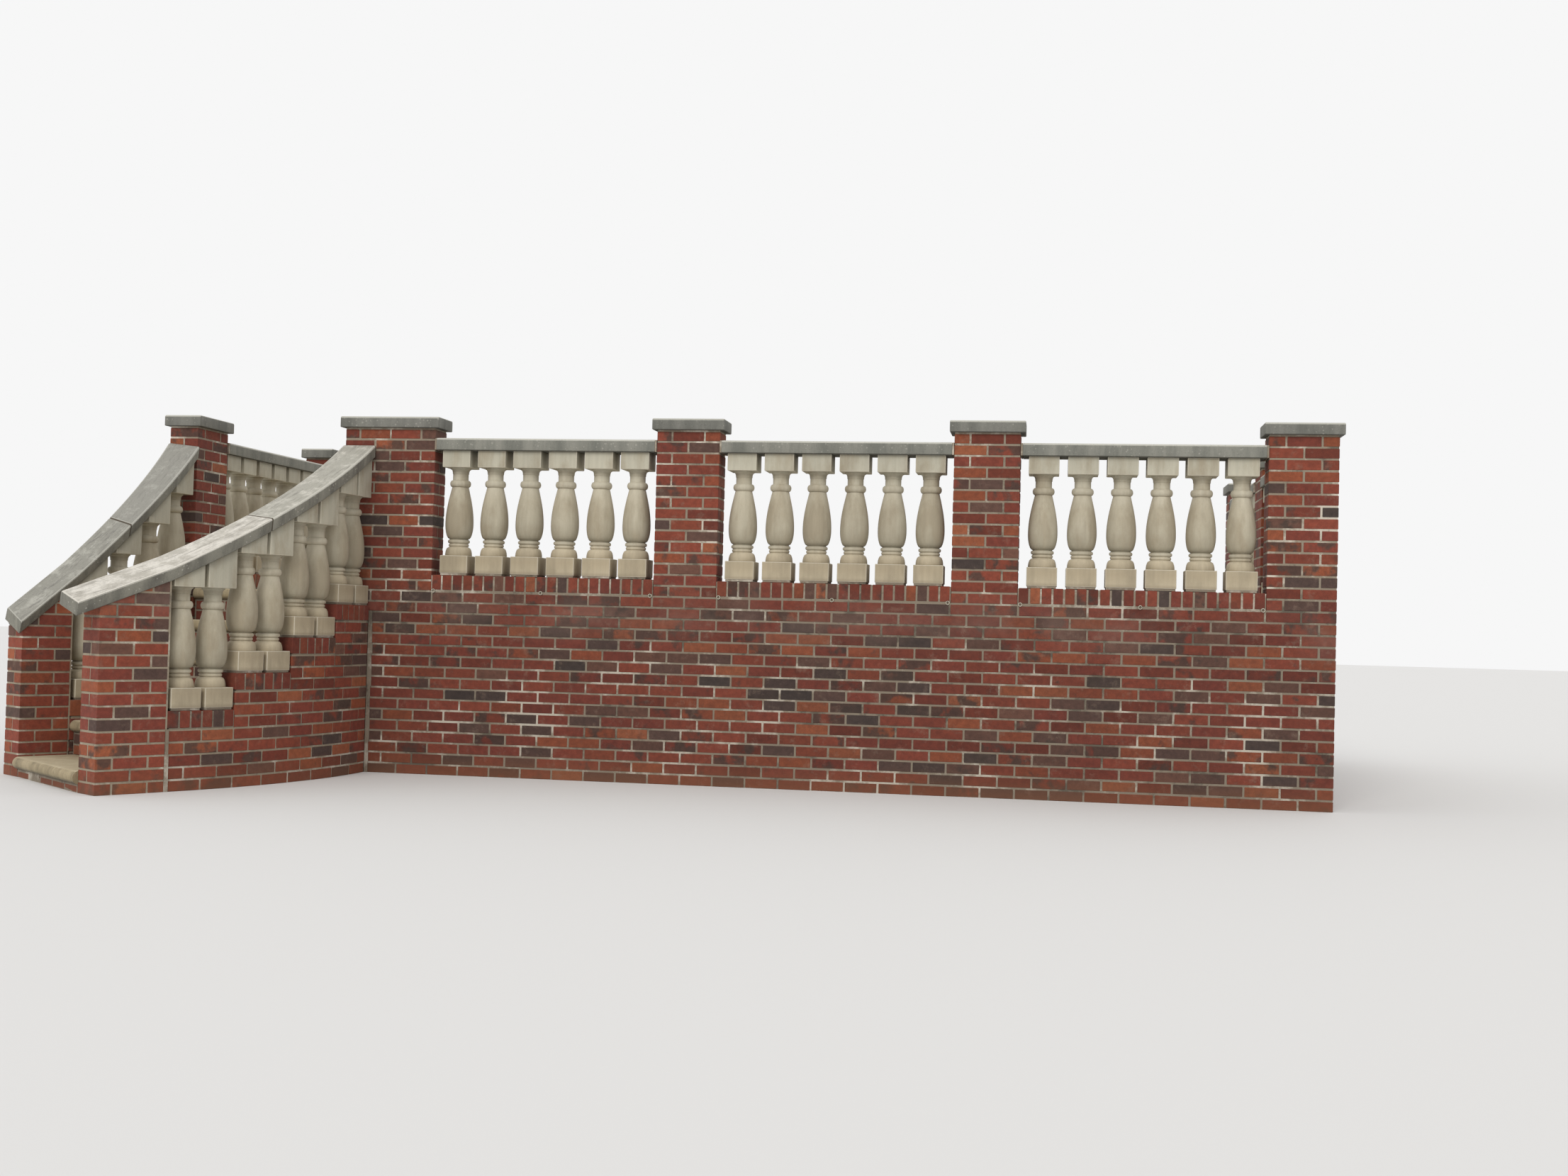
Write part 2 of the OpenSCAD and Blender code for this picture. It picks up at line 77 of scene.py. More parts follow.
def linear(code: str) -> tuple[float, float, float, float]:
    """Turn an sRGB hex colour into linear red, green, blue and alpha.

    Args:
        code: The colour, such as "#a0462f".

    Returns:
        The linear colour with an alpha of 1.
    """
    parts = [int(code[i : i + 2], 16) / 255 for i in (1, 3, 5)]
    r, g, b = (c / 12.92 if c <= 0.04045 else ((c + 0.055) / 1.055) ** 2.4 for c in parts)
    return (r, g, b, 1.0)


def per(size: float) -> float:
    """Give the scale of a pattern whose marks are this many millimetres across."""
    return 1 / (size * MM)


def add(
    tree: Tree,
    kind: str,
    inputs: dict[str | int, Any] | Sequence[Any] = (),
    stops: Sequence[tuple[float, str]] = (),
    out: int | str = 0,
    **settings: Any,
) -> Socket:
    """Add a shader node with its settings and links.

    Args:
        tree: The material's node tree.
        kind: The node's type, without the leading "ShaderNode".
        inputs: A value, or an output to link, for each socket in turn or by its name
            or number. A Mix of colours takes its share at 0 and the colours at 6 and 7.
        stops: Position and hex colour of each stop of a colour ramp.
        out: The output that is wanted.
        **settings: Properties of the node.

    Returns:
        That output of the new node.
    """
    node = tree.nodes.new("ShaderNode" + kind)
    for key, value in settings.items():
        setattr(node, key, value)
    pairs = inputs.items() if isinstance(inputs, dict) else enumerate(inputs)
    for key, value in pairs:
        if isinstance(value, Socket):
            tree.links.new(value, node.inputs[key])
        else:
            node.inputs[key].default_value = value
    if stops:
        ramp = node.color_ramp.elements
        while len(ramp) > 1:
            ramp.remove(ramp[-1])
        ramp[0].position = stops[0][0]
        ramp[0].color = linear(stops[0][1])
        for place, code in stops[1:]:
            ramp.new(place).color = linear(code)
    return node.outputs[out]


# Settings and output of a Mix node that mixes colours.
COLOURS = {"data_type": "RGBA", "out": 2}


class Slot(Enum):
    """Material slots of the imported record."""

    BRICK = "brick"
    SILL = "sill_brick"
    COPING = "coping_stone"
    HANDRAIL = "handrail_stone"
    BALUSTER = "baluster_stone"
    TREAD = "tread_stone"
    PAVING = "paving"


@dataclass(frozen=True)
class Finish:
    """A finish: the name of the real material and how it takes the light.

    Attributes:
        name: Name of the material.
        roughness: Roughness of the surface.
        ior: Index of refraction.
        relief: Strength of the bump, or 0 for a smooth material.
        depth: Depth of the bump in metres.
    """

    name: str
    roughness: float = 0.85
    ior: float = 1.5
    relief: float = 0.5
    depth: float = 2.0 * MM

    def paint(self, tree: Tree) -> tuple[Socket, Socket]:
        """Make the colour, and the pattern that the bump follows.

        Args:
            tree: The material's node tree.

        Returns:
            The colour and the height of the bump.
        """
        raise NotImplementedError

    @cache
    def make(self) -> bpy.types.Material:
        """Make the material, once."""
        material = bpy.data.materials.new(self.name)
        material.use_nodes = True
        tree = material.node_tree
        shader = tree.nodes["Principled BSDF"]
        shader.inputs["Roughness"].default_value = self.roughness
        shader.inputs["IOR"].default_value = self.ior
        colour, height = self.paint(tree)
        tree.links.new(colour, shader.inputs["Base Color"])
        if self.relief:
            bump = add(tree, "Bump", {"Height": height, "Strength": self.relief, "Distance": self.depth})
            tree.links.new(bump, shader.inputs["Normal"])
        return material


@dataclass(frozen=True)
class FiredBrick(Finish):
    """Wire-cut clay brick, fired red with flashed dark ones among the rest.

    The red and orange faces come from the clay, and the brown and charcoal ones
    from flashing in the kiln, which can darken part of a face. Bloom is the pale
    lime haze that water leaves on a wall, and soil is the stain near the ground.

    Attributes:
        bloom: Height of the middle of the lime haze.
        soil: Height up to which soil stains the brick.
    """

    roughness: float = 0.88
    bloom: float = 1.02
    soil: float = 0.16

    def paint(self, tree: Tree) -> tuple[Socket, Socket]:
        """Make the colour and the height of the bump."""
        here = add(tree, "TexCoord", out="Object")
        brick = add(tree, "Attribute", out="Vector", attribute_name="brick")
        pick = add(tree, "SeparateXYZ", (brick,)).node.outputs
        clay = (
            (0.00, "#642d1d"),
            (0.18, "#713427"),
            (0.38, "#7d3b29"),
            (0.56, "#763826"),
            (0.70, "#84452a"),
            (0.77, "#8f5235"),
        )
        flashed = ((0.785, "#664335"), (0.86, "#583e34"), (0.94, "#4c3932"), (1.00, "#403530"))
        tone = add(tree, "ValToRGB", (pick[0],), stops=clay + flashed)
        # Each brick reads its own part of the pattern, so that none runs over a joint.
        shift = add(tree, "VectorMath", {0: brick, 3: 7.0}, operation="SCALE")
        place = add(tree, "VectorMath", (here, shift), operation="ADD")
        # Flashing, which comes in over part of a face.
        flash = add(tree, "TexNoise", {"Vector": place, "Scale": per(111.1), "Detail": 3.0, "Roughness": 0.6})
        reach = add(tree, "MapRange", (pick[1], 0.62, 1.0, 0.70, 0.44))
        edge = add(tree, "Math", (flash, reach), operation="SUBTRACT")
        dark = add(tree, "MapRange", (edge, -0.05, 0.07, 0.0, 0.85))
        tone = add(tree, "Mix", {0: dark, 6: tone, 7: linear("#43352d")}, **COLOURS)
        # Grit of 2 to 5 mm, the drag marks of the wire, and the tone of each brick. On the stair's bricks
        # that tone is raised as painted light.
        grit = add(tree, "TexNoise", {"Vector": place, "Scale": per(4.762), "Detail": 4.0, "Roughness": 0.7})
        drag = add(tree, "TexNoise", {"Vector": place, "Scale": per(29.41), "Detail": 3.0, "Roughness": 0.6})
        light = add(tree, "MapRange", (grit, 0.3, 0.7, 0.86, 1.14))
        broad = add(tree, "MapRange", (drag, 0.3, 0.7, 0.80, 1.18))
        height = add(tree, "SeparateXYZ", (here,), out=2)
        damp = add(tree, "MapRange", (height, *DAMP, 0.79, 1.0))
        own = add(tree, "MapRange", (pick[2], 0.0, 3.0, 0.86, 1.55))
        rough = level = add(tree, "Math", (light, broad), operation="MULTIPLY")
        for share in (damp, own):
            level = add(tree, "Math", (level, share), operation="MULTIPLY")
        tone = add(tree, "VectorMath", {0: tone, 3: level}, operation="SCALE")
        # Mortar smears, lime haze along the wall and soil at its foot.
        smear = add(tree, "TexNoise", {"Vector": here, "Scale": per(76.92), "Detail": 5.0, "Roughness": 0.75})
        film = add(tree, "MapRange", (smear, 0.56, 0.78, 0.0, 0.42))
        off = add(tree, "Math", (height, self.bloom), operation="SUBTRACT")
        away = add(tree, "Math", (off,), operation="ABSOLUTE")
        near = add(tree, "MapRange", (away, 0.0, 0.20, 0.5, 0.0))
        cloud = add(tree, "TexNoise", {"Vector": here, "Scale": per(416.7), "Detail": 4.0, "Roughness": 0.6})
        haze = add(tree, "MapRange", (cloud, 0.42, 0.68, 0.0, 0.8))
        veil = add(tree, "Math", (near, haze), operation="MULTIPLY")
        low = add(tree, "MapRange", (height, 0.0, self.soil, 0.55, 0.0))
        for share, code in ((film, "#8c7766"), (veil, "#80665a"), (low, "#784c31")):
            tone = add(tree, "Mix", {0: share, 6: tone, 7: linear(code)}, **COLOURS)
        return tone, rough


@dataclass(frozen=True)
class Mortar(Finish):
    """Lime and cement mortar, struck rough, with sandy grain and white patches.

    Attributes:
        base: Colour of the clean joint.
        pale: Colour of the lime-rich patches.
        dirt: Colour where water has carried soil into it.
        washed: Height of the band where there is most of that.
    """

    roughness: float = 0.95
    relief: float = 0.6
    depth: float = 3.0 * MM
    base: str = "#8c806f"
    pale: str = "#c4bbab"
    dirt: str = "#655d50"
    washed: float = 0.98

    def paint(self, tree: Tree) -> tuple[Socket, Socket]:
        """Make the colour and the height of the bump."""
        here = add(tree, "TexCoord", out="Object")
        patch = add(tree, "TexNoise", {"Vector": here, "Scale": per(312.5), "Detail": 6.0, "Roughness": 0.7})
        height = add(tree, "SeparateXYZ", (here,), out=2)
        off = add(tree, "Math", (height, self.washed), operation="SUBTRACT")
        away = add(tree, "Math", (off,), operation="ABSOLUTE")
        near = add(tree, "MapRange", (away, 0.02, 0.30, 0.075, 0.0))
        worse = add(tree, "Math", (patch, near), operation="SUBTRACT")
        stops = ((0.36, self.dirt), (0.44, self.base), (0.52, self.base), (0.62, self.pale))
        tone = add(tree, "ValToRGB", (worse,), stops=stops)
        # Sand is too fine to show, so it is drawn at about 3 mm.
        sand = add(tree, "TexNoise", {"Vector": here, "Scale": per(3.125), "Detail": 3.0, "Roughness": 0.8})
        level = add(tree, "MapRange", (sand, 0.3, 0.7, 0.80, 1.16))
        damp = add(tree, "MapRange", (height, *DAMP, 0.84, 1.0))
        both = add(tree, "Math", (level, damp), operation="MULTIPLY")
        grainy = add(tree, "VectorMath", {0: tone, 3: both}, operation="SCALE")
        lump = add(tree, "TexNoise", {"Vector": here, "Scale": per(16.667), "Detail": 5.0, "Roughness": 0.7})
        return grainy, lump


@dataclass(frozen=True)
class CastStone(Finish):
    """Fine buff cast stone: rammed dry, so matt and sandy, warm where it is clean.

    Rain darkens the lower half of each vase to a greenish grey and keeps the plinth, which is splashed clean,
    a warmer buff. Under the belly of each vase and in the bell under the block the colour is painted darker
    still, as painted shade, and at the top of the block under the rail it is painted darker as painted shade
    and stain.

    Attributes:
        stain: Colour of the brown stain round the belly of the vase.
        worn: Colour of the rubbed arrises, painted paler as wear and painted highlight.
        belly: Height of the stain, as a share of the baluster's height.
    """

    roughness: float = 0.82
    relief: float = 0.25
    depth: float = 0.8 * MM
    stain: str = "#978b74"
    worn: str = "#cdc6b3"
    belly: float = 0.46

    def paint(self, tree: Tree) -> tuple[Socket, Socket]:
        """Make the colour and the height of the bump."""
        here = add(tree, "TexCoord", out="Object")
        about = add(tree, "Attribute", out="Vector", attribute_name="cast")
        cast = add(tree, "SeparateXYZ", (about,)).node.outputs
        # The stops at 0.285, under the vase's belly, and 0.835, in the bell under the block, are painted
        # shade. The dark stop at 1.00, on the block's top under the rail, is painted shade and stain.
        plinth = ((0.00, "#9c8f78"), (0.03, "#b4a78d"), (0.10, "#a89a80"), (0.14, "#a5987f"))
        foot = ((0.20, "#b8ab91"), (0.26, "#bab29d"), (0.285, "#8f8874"))
        vase = ((0.32, "#a49c87"), (0.42, "#b0a893"), (0.60, "#b3aa94"), (0.70, "#bbb39e"), (0.78, "#b9b29e"))
        head = ((0.835, "#a09986"), (0.865, "#bab5a2"), (0.96, "#b0ab99"), (1.00, "#8f8b7b"))
        tone = add(tree, "ValToRGB", (cast[1],), stops=plinth + foot + vase + head)
        # A brown stain down the middle of the vase, and cloudy patches elsewhere.
        tall = add(tree, "Mapping", {0: here, "Scale": (per(133.33), per(133.33), per(333.33))})
        cloud = add(tree, "TexNoise", {"Vector": tall, "Scale": 1.0, "Detail": 5.0, "Roughness": 0.6})
        rise = add(tree, "Math", (cast[1], self.belly), operation="SUBTRACT")
        away = add(tree, "Math", (rise,), operation="ABSOLUTE")
        near = add(tree, "MapRange", (away, 0.08, 0.20, 0.10, 0.0))
        deeper = add(tree, "Math", (cloud, near), operation="ADD")
        stain = add(tree, "MapRange", (deeper, 0.46, 0.68, 0.0, 0.75))
        # The eased arrises of block and plinth are painted paler, as wear and painted highlight.
        rubbed = add(tree, "Attribute", out="Fac", attribute_name="worn")
        wear = add(tree, "Math", (rubbed, 0.6), operation="MULTIPLY")
        for share, code in ((stain, self.stain), (wear, self.worn)):
            tone = add(tree, "Mix", {0: share, 6: tone, 7: linear(code)}, **COLOURS)
        # Run marks, drawn out along the height, and the tone of its batch. Sand is too
        # fine to show, so it is drawn at about 3 mm.
        drawn = add(tree, "Mapping", {0: here, "Scale": (per(21.739), per(21.739), per(454.5))})
        runs = add(tree, "TexNoise", {"Vector": drawn, "Scale": 1.0, "Detail": 3.0, "Roughness": 0.6})
        sand = add(tree, "TexNoise", {"Vector": here, "Scale": per(3.3333), "Detail": 3.0, "Roughness": 0.75})
        level = add(tree, "MapRange", (cast[0], 0.0, 1.0, 0.93, 1.06))
        for pattern, high in ((runs, 1.06), (sand, 1.07)):
            share = add(tree, "MapRange", (pattern, 0.3, 0.7, 0.93, high))
            level = add(tree, "Math", (level, share), operation="MULTIPLY")
        return add(tree, "VectorMath", {0: tone, 3: level}, operation="SCALE"), sand


@dataclass(frozen=True)
class WeatheredLimestone(Finish):
    """Sawn limestone that has stood in the rain for years.

    Its sides are grey with water runs, its eased upper arrises are painted pale as wear and painted
    highlight, its faces that look down are painted dark as painted shade and algae, and lichen and pits mark
    the top.

    Attributes:
        side: Colour of the upright faces.
        dirt: Colour of the water runs and algae.
        top: Colour of the upper face.
        lichen: Colour of the lichen on the upper face.
        arris: Colour of the upper arris, painted pale as wear and painted highlight.
        cover: Share of lichen, from 0 to 1.
        streak: Strength of the dirt in the long hollows, from 0 to 1.
        hollow: Colour of that dirt.
        speck: Strength of the pale specks on the upright faces, from 0 to 1.
        steepest: Upward part of the normal above which a face weathers as a top.
        under: Colour painted on the faces that look down, as painted shade and algae.
    """

    roughness: float = 0.8
    depth: float = 1.5 * MM
    side: str = "#8a897f"
    dirt: str = "#696a62"
    top: str = "#99978d"
    lichen: str = "#bdbaae"
    arris: str = "#c6c4b8"
    cover: float = 0.4
    streak: float = 0.5
    hollow: str = "#77746c"
    speck: float = 0.3
    steepest: float = 0.8
    under: str = "#4c4c46"

    def paint(self, tree: Tree) -> tuple[Socket, Socket]:
        """Make the colour and the height of the bump."""
        here = add(tree, "TexCoord", out="Object")
        normal = add(tree, "NewGeometry", out="Normal")
        up = add(tree, "SeparateXYZ", (normal,), out=2)
        spots = add(tree, "TexNoise", {"Vector": here, "Scale": per(90.91), "Detail": 7.0, "Roughness": 0.72})
        # Upright faces: water runs, and specks of lichen.
        drawn = add(tree, "Mapping", {0: here, "Scale": (per(111.11), per(111.11), per(625))})
        runs = add(tree, "TexNoise", {"Vector": drawn, "Scale": 1.0, "Detail": 6.0, "Roughness": 0.65})
        wash = add(tree, "MapRange", (runs, 0.40, 0.64, 0.0, 0.85))
        flecks = add(tree, "TexVoronoi", {"Vector": here, "Scale": per(23.81)}, feature="F1")
        lone = add(tree, "Math", (flecks, spots), operation="SUBTRACT")
        fleck = add(tree, "MapRange", (lone, -0.42, -0.30, self.speck, 0.0))
        # The top: patches of lichen, and shallow hollows along the stone that hold dirt.
        bare = 0.60 - 0.25 * self.cover
        grown = add(tree, "MapRange", (spots, bare, bare + 0.16, 0.0, 0.9))
        length = add(tree, "Attribute", out="Vector", attribute_name="along")
        long = add(tree, "Mapping", {0: length, "Scale": (per(454.5), per(17.857), per(71.43))})
        bed = add(tree, "TexNoise", {"Vector": long, "Scale": 1.0, "Detail": 5.0, "Roughness": 0.7})
        hollow = add(tree, "MapRange", (bed, 0.52, 0.67, 0.0, self.streak))
        wall, crust = linear(self.side), linear(self.top)
        for share, code in ((wash, self.dirt), (fleck, self.lichen)):
            wall = add(tree, "Mix", {0: share, 6: wall, 7: linear(code)}, **COLOURS)
        for share, code in ((grown, self.lichen), (hollow, self.hollow)):
            crust = add(tree, "Mix", {0: share, 6: crust, 7: linear(code)}, **COLOURS)
        flat = add(tree, "MapRange", (up, self.steepest, self.steepest + 0.13, 0.0, 1.0))
        tone = add(tree, "Mix", {0: flat, 6: wall, 7: crust}, **COLOURS)
        # Upper arrises painted pale, as wear and painted highlight, and faces that look down painted dark, as
        # painted shade and algae.
        rubbed = add(tree, "Attribute", out="Fac", attribute_name="worn")
        upper = add(tree, "MapRange", (up, 0.05, 0.3, 0.0, 0.8))
        eased = add(tree, "Math", (rubbed, upper), operation="MULTIPLY")
        below = add(tree, "MapRange", (up, -0.9, -0.3, 0.7, 0.0))
        for share, code in ((eased, self.arris), (below, self.under)):
            tone = add(tree, "Mix", {0: share, 6: tone, 7: linear(code)}, **COLOURS)
        # Pits of 3 to 7 mm where shells have weathered out. Sand is too fine to show, so
        # it is drawn at about 5 mm.
        pits = add(tree, "TexVoronoi", {"Vector": here, "Scale": per(13.333)}, feature="F1")
        hole = add(tree, "MapRange", (pits, 0.10, 0.26, 0.78, 1.0))
        sand = add(tree, "TexNoise", {"Vector": here, "Scale": per(5.263), "Detail": 4.0, "Roughness": 0.75})
        grain = add(tree, "MapRange", (sand, 0.3, 0.7, 0.88, 1.1))
        level = add(tree, "Math", (hole, grain), operation="MULTIPLY")
        return add(tree, "VectorMath", {0: tone, 3: level}, operation="SCALE"), level


@dataclass(frozen=True)
class WeepTube(Finish):
    """Extruded rigid plastic tube, chalked pale by the sun.

    Attributes:
        colour: Colour of the chalked plastic.
        dirty: Colour of the dust on it.
    """

    roughness: float = 0.6
    relief: float = 0.0
    colour: str = "#b9b3a2"
    dirty: str = "#8f897a"

    def paint(self, tree: Tree) -> tuple[Socket, Socket]:
        """Make the colour, and the pattern of its dust."""
        here = add(tree, "TexCoord", out="Object")
        dust = add(tree, "TexNoise", {"Vector": here, "Scale": per(8.333), "Detail": 2.0})
        return add(tree, "ValToRGB", (dust,), stops=((0.35, self.dirty), (0.6, self.colour))), dust


# Fired clay, cut by wire: matt, gritty faces in reds and browns, some nearly black.
BRICK = FiredBrick("fired_clay_brick")
# Mortar struck rough: pale, matt joints with white patches and darker washed ones.
MORTAR = Mortar("lime_cement_mortar")
# Mortar of the cheeks and newels, painted paler as painted light.
LIT_MORTAR = Mortar("painted_light_mortar", base="#a59883", pale="#d8d0bf", dirt="#7f7667")
# Joints of the handrails, which algae has turned nearly black.
STAINED = Mortar("stained_pointing", base="#544c40", pale="#70675a", dirt="#38332b")
# Cast stone, rammed dry: matt, sandy and warm buff, with brown stains.
CAST = CastStone("buff_cast_stone")
# Sawn limestone in the rain: grey sides with darker runs, and pale worn arrises.
COPING = WeatheredLimestone("grey_weathered_limestone")
# The same on the piers, where it has weathered darker.
CAP = WeatheredLimestone("dark_weathered_limestone", side="#7c7b73", dirt="#61615a", arris="#bebcb0")
# Limestone rubbed by feet: smoother, and buff where the grey has worn off.
TREAD = WeatheredLimestone(
    "buff_worn_limestone", 0.78, side="#a8997a", dirt="#75694f", top="#b3a587",
    lichen="#c2b698", arris="#bdb091", cover=0.5,
)
# Sawn flags, washed clean: even, pale and buff.
PAVING = WeatheredLimestone(
    "sawn_limestone_flags", 0.75, side="#a39b88", dirt="#7d7666", top="#b5ac97",
    lichen="#c6bea9", arris="#bab29e", cover=0.3,
)
# Extruded plastic, chalked by the sun: a dull, smooth off-white.
TUBE = WeepTube("chalked_plastic")
# The near handrail is painted lighter and the far one darker, as painted light and painted shade. Rain has
# also drawn long streaks down the far one's lower stone.
SLOPING = {"side": "#8a887c", "dirt": "#5f5d55", "speck": 0.4, "steepest": 0.4}
RAILS = {
    ("near", "lower"): WeatheredLimestone(
        "lichened_limestone", top="#b5b0a4", lichen="#d8d3c8", arris="#d3cec2",
        cover=0.7, streak=0.7, hollow="#817b72", **SLOPING,
    ),
    ("near", "upper"): WeatheredLimestone(
        "grey_lichened_limestone", top="#a5a296", lichen="#c9c5b9", arris="#c4c1b5",
        cover=0.4, streak=0.6, hollow="#75716a", **SLOPING,
    ),
    ("far", "lower"): WeatheredLimestone(
        "rain_streaked_limestone", top="#8f8d83", lichen="#b2b0a5", arris="#b3b1a6",
        cover=0.4, streak=0.95, hollow="#716e68", **SLOPING,
    ),
    ("far", "upper"): WeatheredLimestone(
        "shaded_weathered_limestone", top="#908e85", lichen="#aaa89e", arris="#b0aea4",
        cover=0.3, streak=0.5, hollow="#75726c", **SLOPING,
    ),
}


@dataclass(frozen=True)
class Solid:
    """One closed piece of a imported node.

    Attributes:
        lo: Lowest corner.
        hi: Highest corner.
        points: Its corners.
    """

    lo: Vector
    hi: Vector
    points: tuple[Vector, ...]

    @property
    def middle(self) -> Vector:
        """Middle of its box."""
        return (self.lo + self.hi) / 2


def merged(node: str) -> Mesh:
    """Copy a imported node's mesh and join its loose triangles."""
    bm = bmesh.new()
    bm.from_mesh(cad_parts[node].data)
    bmesh.ops.remove_doubles(bm, verts=bm.verts, dist=0.02 * MM)
    return bm


def solids(node: str) -> list[Solid]:
    """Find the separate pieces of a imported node.

    Args:
        node: Name of the node.

    Returns:
        The pieces, from the lowest X, Y and Z up.
    """
    bm = merged(node)
    left = set(bm.verts)
    found: list[Solid] = []
    while left:
        grown = [left.pop()]
        points: list[Vector] = []
        while grown:
            vert = grown.pop()
            points.append(vert.co.copy())
            for edge in vert.link_edges:
                other = edge.other_vert(vert)
                if other in left:
                    left.remove(other)
                    grown.append(other)
        lo, hi = (Vector(pick(p[i] for p in points) for i in range(3)) for pick in (min, max))
        found.append(Solid(lo, hi, tuple(points)))
    bm.free()
    return sorted(found, key=lambda s: (round(s.lo.x, 3), round(s.lo.y, 3), s.lo.z))


def block(bm: Mesh, lo: Vector, hi: Vector, frame: Matrix = LEVEL) -> list[bmesh.types.BMVert]:
    """Add a box between two corners.

    Args:
        bm: Mesh that it goes into.
        lo: Lowest corner.
        hi: Highest corner.
        frame: Axes that the corners are measured in.

    Returns:
        Its corners.
    """
    place = frame @ Matrix.Translation((lo + hi) / 2) @ Matrix.Diagonal((*(hi - lo), 1))
    return bmesh.ops.create_cube(bm, size=1, matrix=place)["verts"]


def ease(
    bm: Mesh, edges: Sequence[bmesh.types.BMEdge], arris: float, segments: int = 1
) -> list[bmesh.types.BMFace]:
    """Ease sharp arrises.

    Args:
        bm: Mesh that they are in.
        edges: The arrises.
        arris: Width of the eased arris.
        segments: Facets across it.

    Returns:
        The new facets.
    """
    eased = bmesh.ops.bevel(
        bm,
        geom=edges,
        offset=arris,
        affect="EDGES",
        segments=segments,
        profile=0.5,
        material=-1,
        clamp_overlap=True,
    )
    return eased["faces"]


def piece(
    bm: Mesh,
    name: str,
    finishes: Sequence[Finish],
    slot: Slot,
    nodes: Sequence[str] = (),
    smooth: float = 0.0,
) -> None:
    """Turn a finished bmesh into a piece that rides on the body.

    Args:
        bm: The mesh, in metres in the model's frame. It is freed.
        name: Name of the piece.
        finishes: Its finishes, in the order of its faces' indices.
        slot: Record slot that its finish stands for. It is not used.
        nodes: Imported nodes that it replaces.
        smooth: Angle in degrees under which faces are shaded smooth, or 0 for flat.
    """
    mesh = bpy.data.meshes.new(name)
    bm.to_mesh(mesh)
    bm.free()
    for finish in finishes:
        mesh.materials.append(finish.make())
    if smooth:
        mesh.shade_smooth()
        mesh.set_sharp_from_angle(angle=math.radians(smooth))
    obj = bpy.data.objects.new(name, mesh)
    bpy.context.scene.collection.objects.link(obj)
    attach(obj, "root")
    if nodes:
        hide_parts(*nodes)
    LOG.info("%s: %d faces", name, len(mesh.polygons))


class Way(Enum):
    """Direction that a straight wall runs in, as the number of its axis."""

    ALONG_X = 0
    ALONG_Y = 1


@dataclass(frozen=True)
class Curve:
    """The curve that the stair follows, seen from above.

    Angles are in degrees down the stair from the plane of the front face.

    Attributes:
        near_r: Radius of the near cheek's stair face.
        width: Clear width between the cheeks.
        thickness: Thickness of a cheek.
        step: Angle of one step.
        steps: Steps in a cheek.
        nosing: How far a nosing stands in front of its riser.
    """

    near_r: float = 2598 * MM
    width: float = 1004 * MM
    thickness: float = 194 * MM
    step: float = 8.45
    steps: int = 4
    nosing: float = 30 * MM

    @property
    def centre(self) -> Vector:
        """Centre of the curve, on the ground in the plane of the front face."""
        lo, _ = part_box("front_base_wall")
        return Vector((lo[0] - self.near_r, lo[1], 0))

    @property
    def far_r(self) -> float:
        """Radius of the far cheek's stair face."""
        return self.near_r - self.width

    @property
    def end(self) -> float:
        """Angle of the whole cheek."""
        return self.steps * self.step

    @property
    def set_back(self) -> float:
        """Angle that a riser is set back from its nosing."""
        return math.degrees(self.nosing / (self.near_r - self.width / 2))

    @property
    def beyond(self) -> Matrix:
        """Axes with X straight on from the cheeks' ends and Y outwards."""
        return self.frame(self.end + 90)

    def at(self, radius: float, angle: float, z: float) -> Vector:
        """Give the point at a radius, an angle down the stair and a height."""
        turn = math.radians(angle)
        return self.centre + Vector((radius * math.cos(turn), -radius * math.sin(turn), z))

    def frame(self, angle: float) -> Matrix:
        """Give axes at the centre, with X outwards at an angle and Y uphill."""
        return Matrix.Translation(self.centre) @ Matrix.Rotation(math.radians(-angle), 4, "Z")

    def angle_of(self, point: Vector) -> float:
        """Give a point's angle down the stair."""
        away = point - self.centre
        return math.degrees(math.atan2(-away.y, away.x))

    def unrolled(self, point: Vector) -> Vector:
        """Give a point's place along the curve, its radius and its height."""
        away = point - self.centre
        return Vector((math.radians(self.angle_of(point)) * self.near_r, away.xy.length, point.z))


def bond(halves: int, odd: bool) -> Iterator[tuple[int, int]]:
    """Share out a course of running bond, counted in half bricks.

    Args:
        halves: Half bricks in the course.
        odd: Whether the course starts with a half brick.

    Yields:
        Where each brick starts, and whether it is 1 or 2 halves long.
    """
    at = 0
    while at < halves:
        wide = 1 if (at == 0 and odd) or at == halves - 1 else 2
        yield at, wide
        at += wide


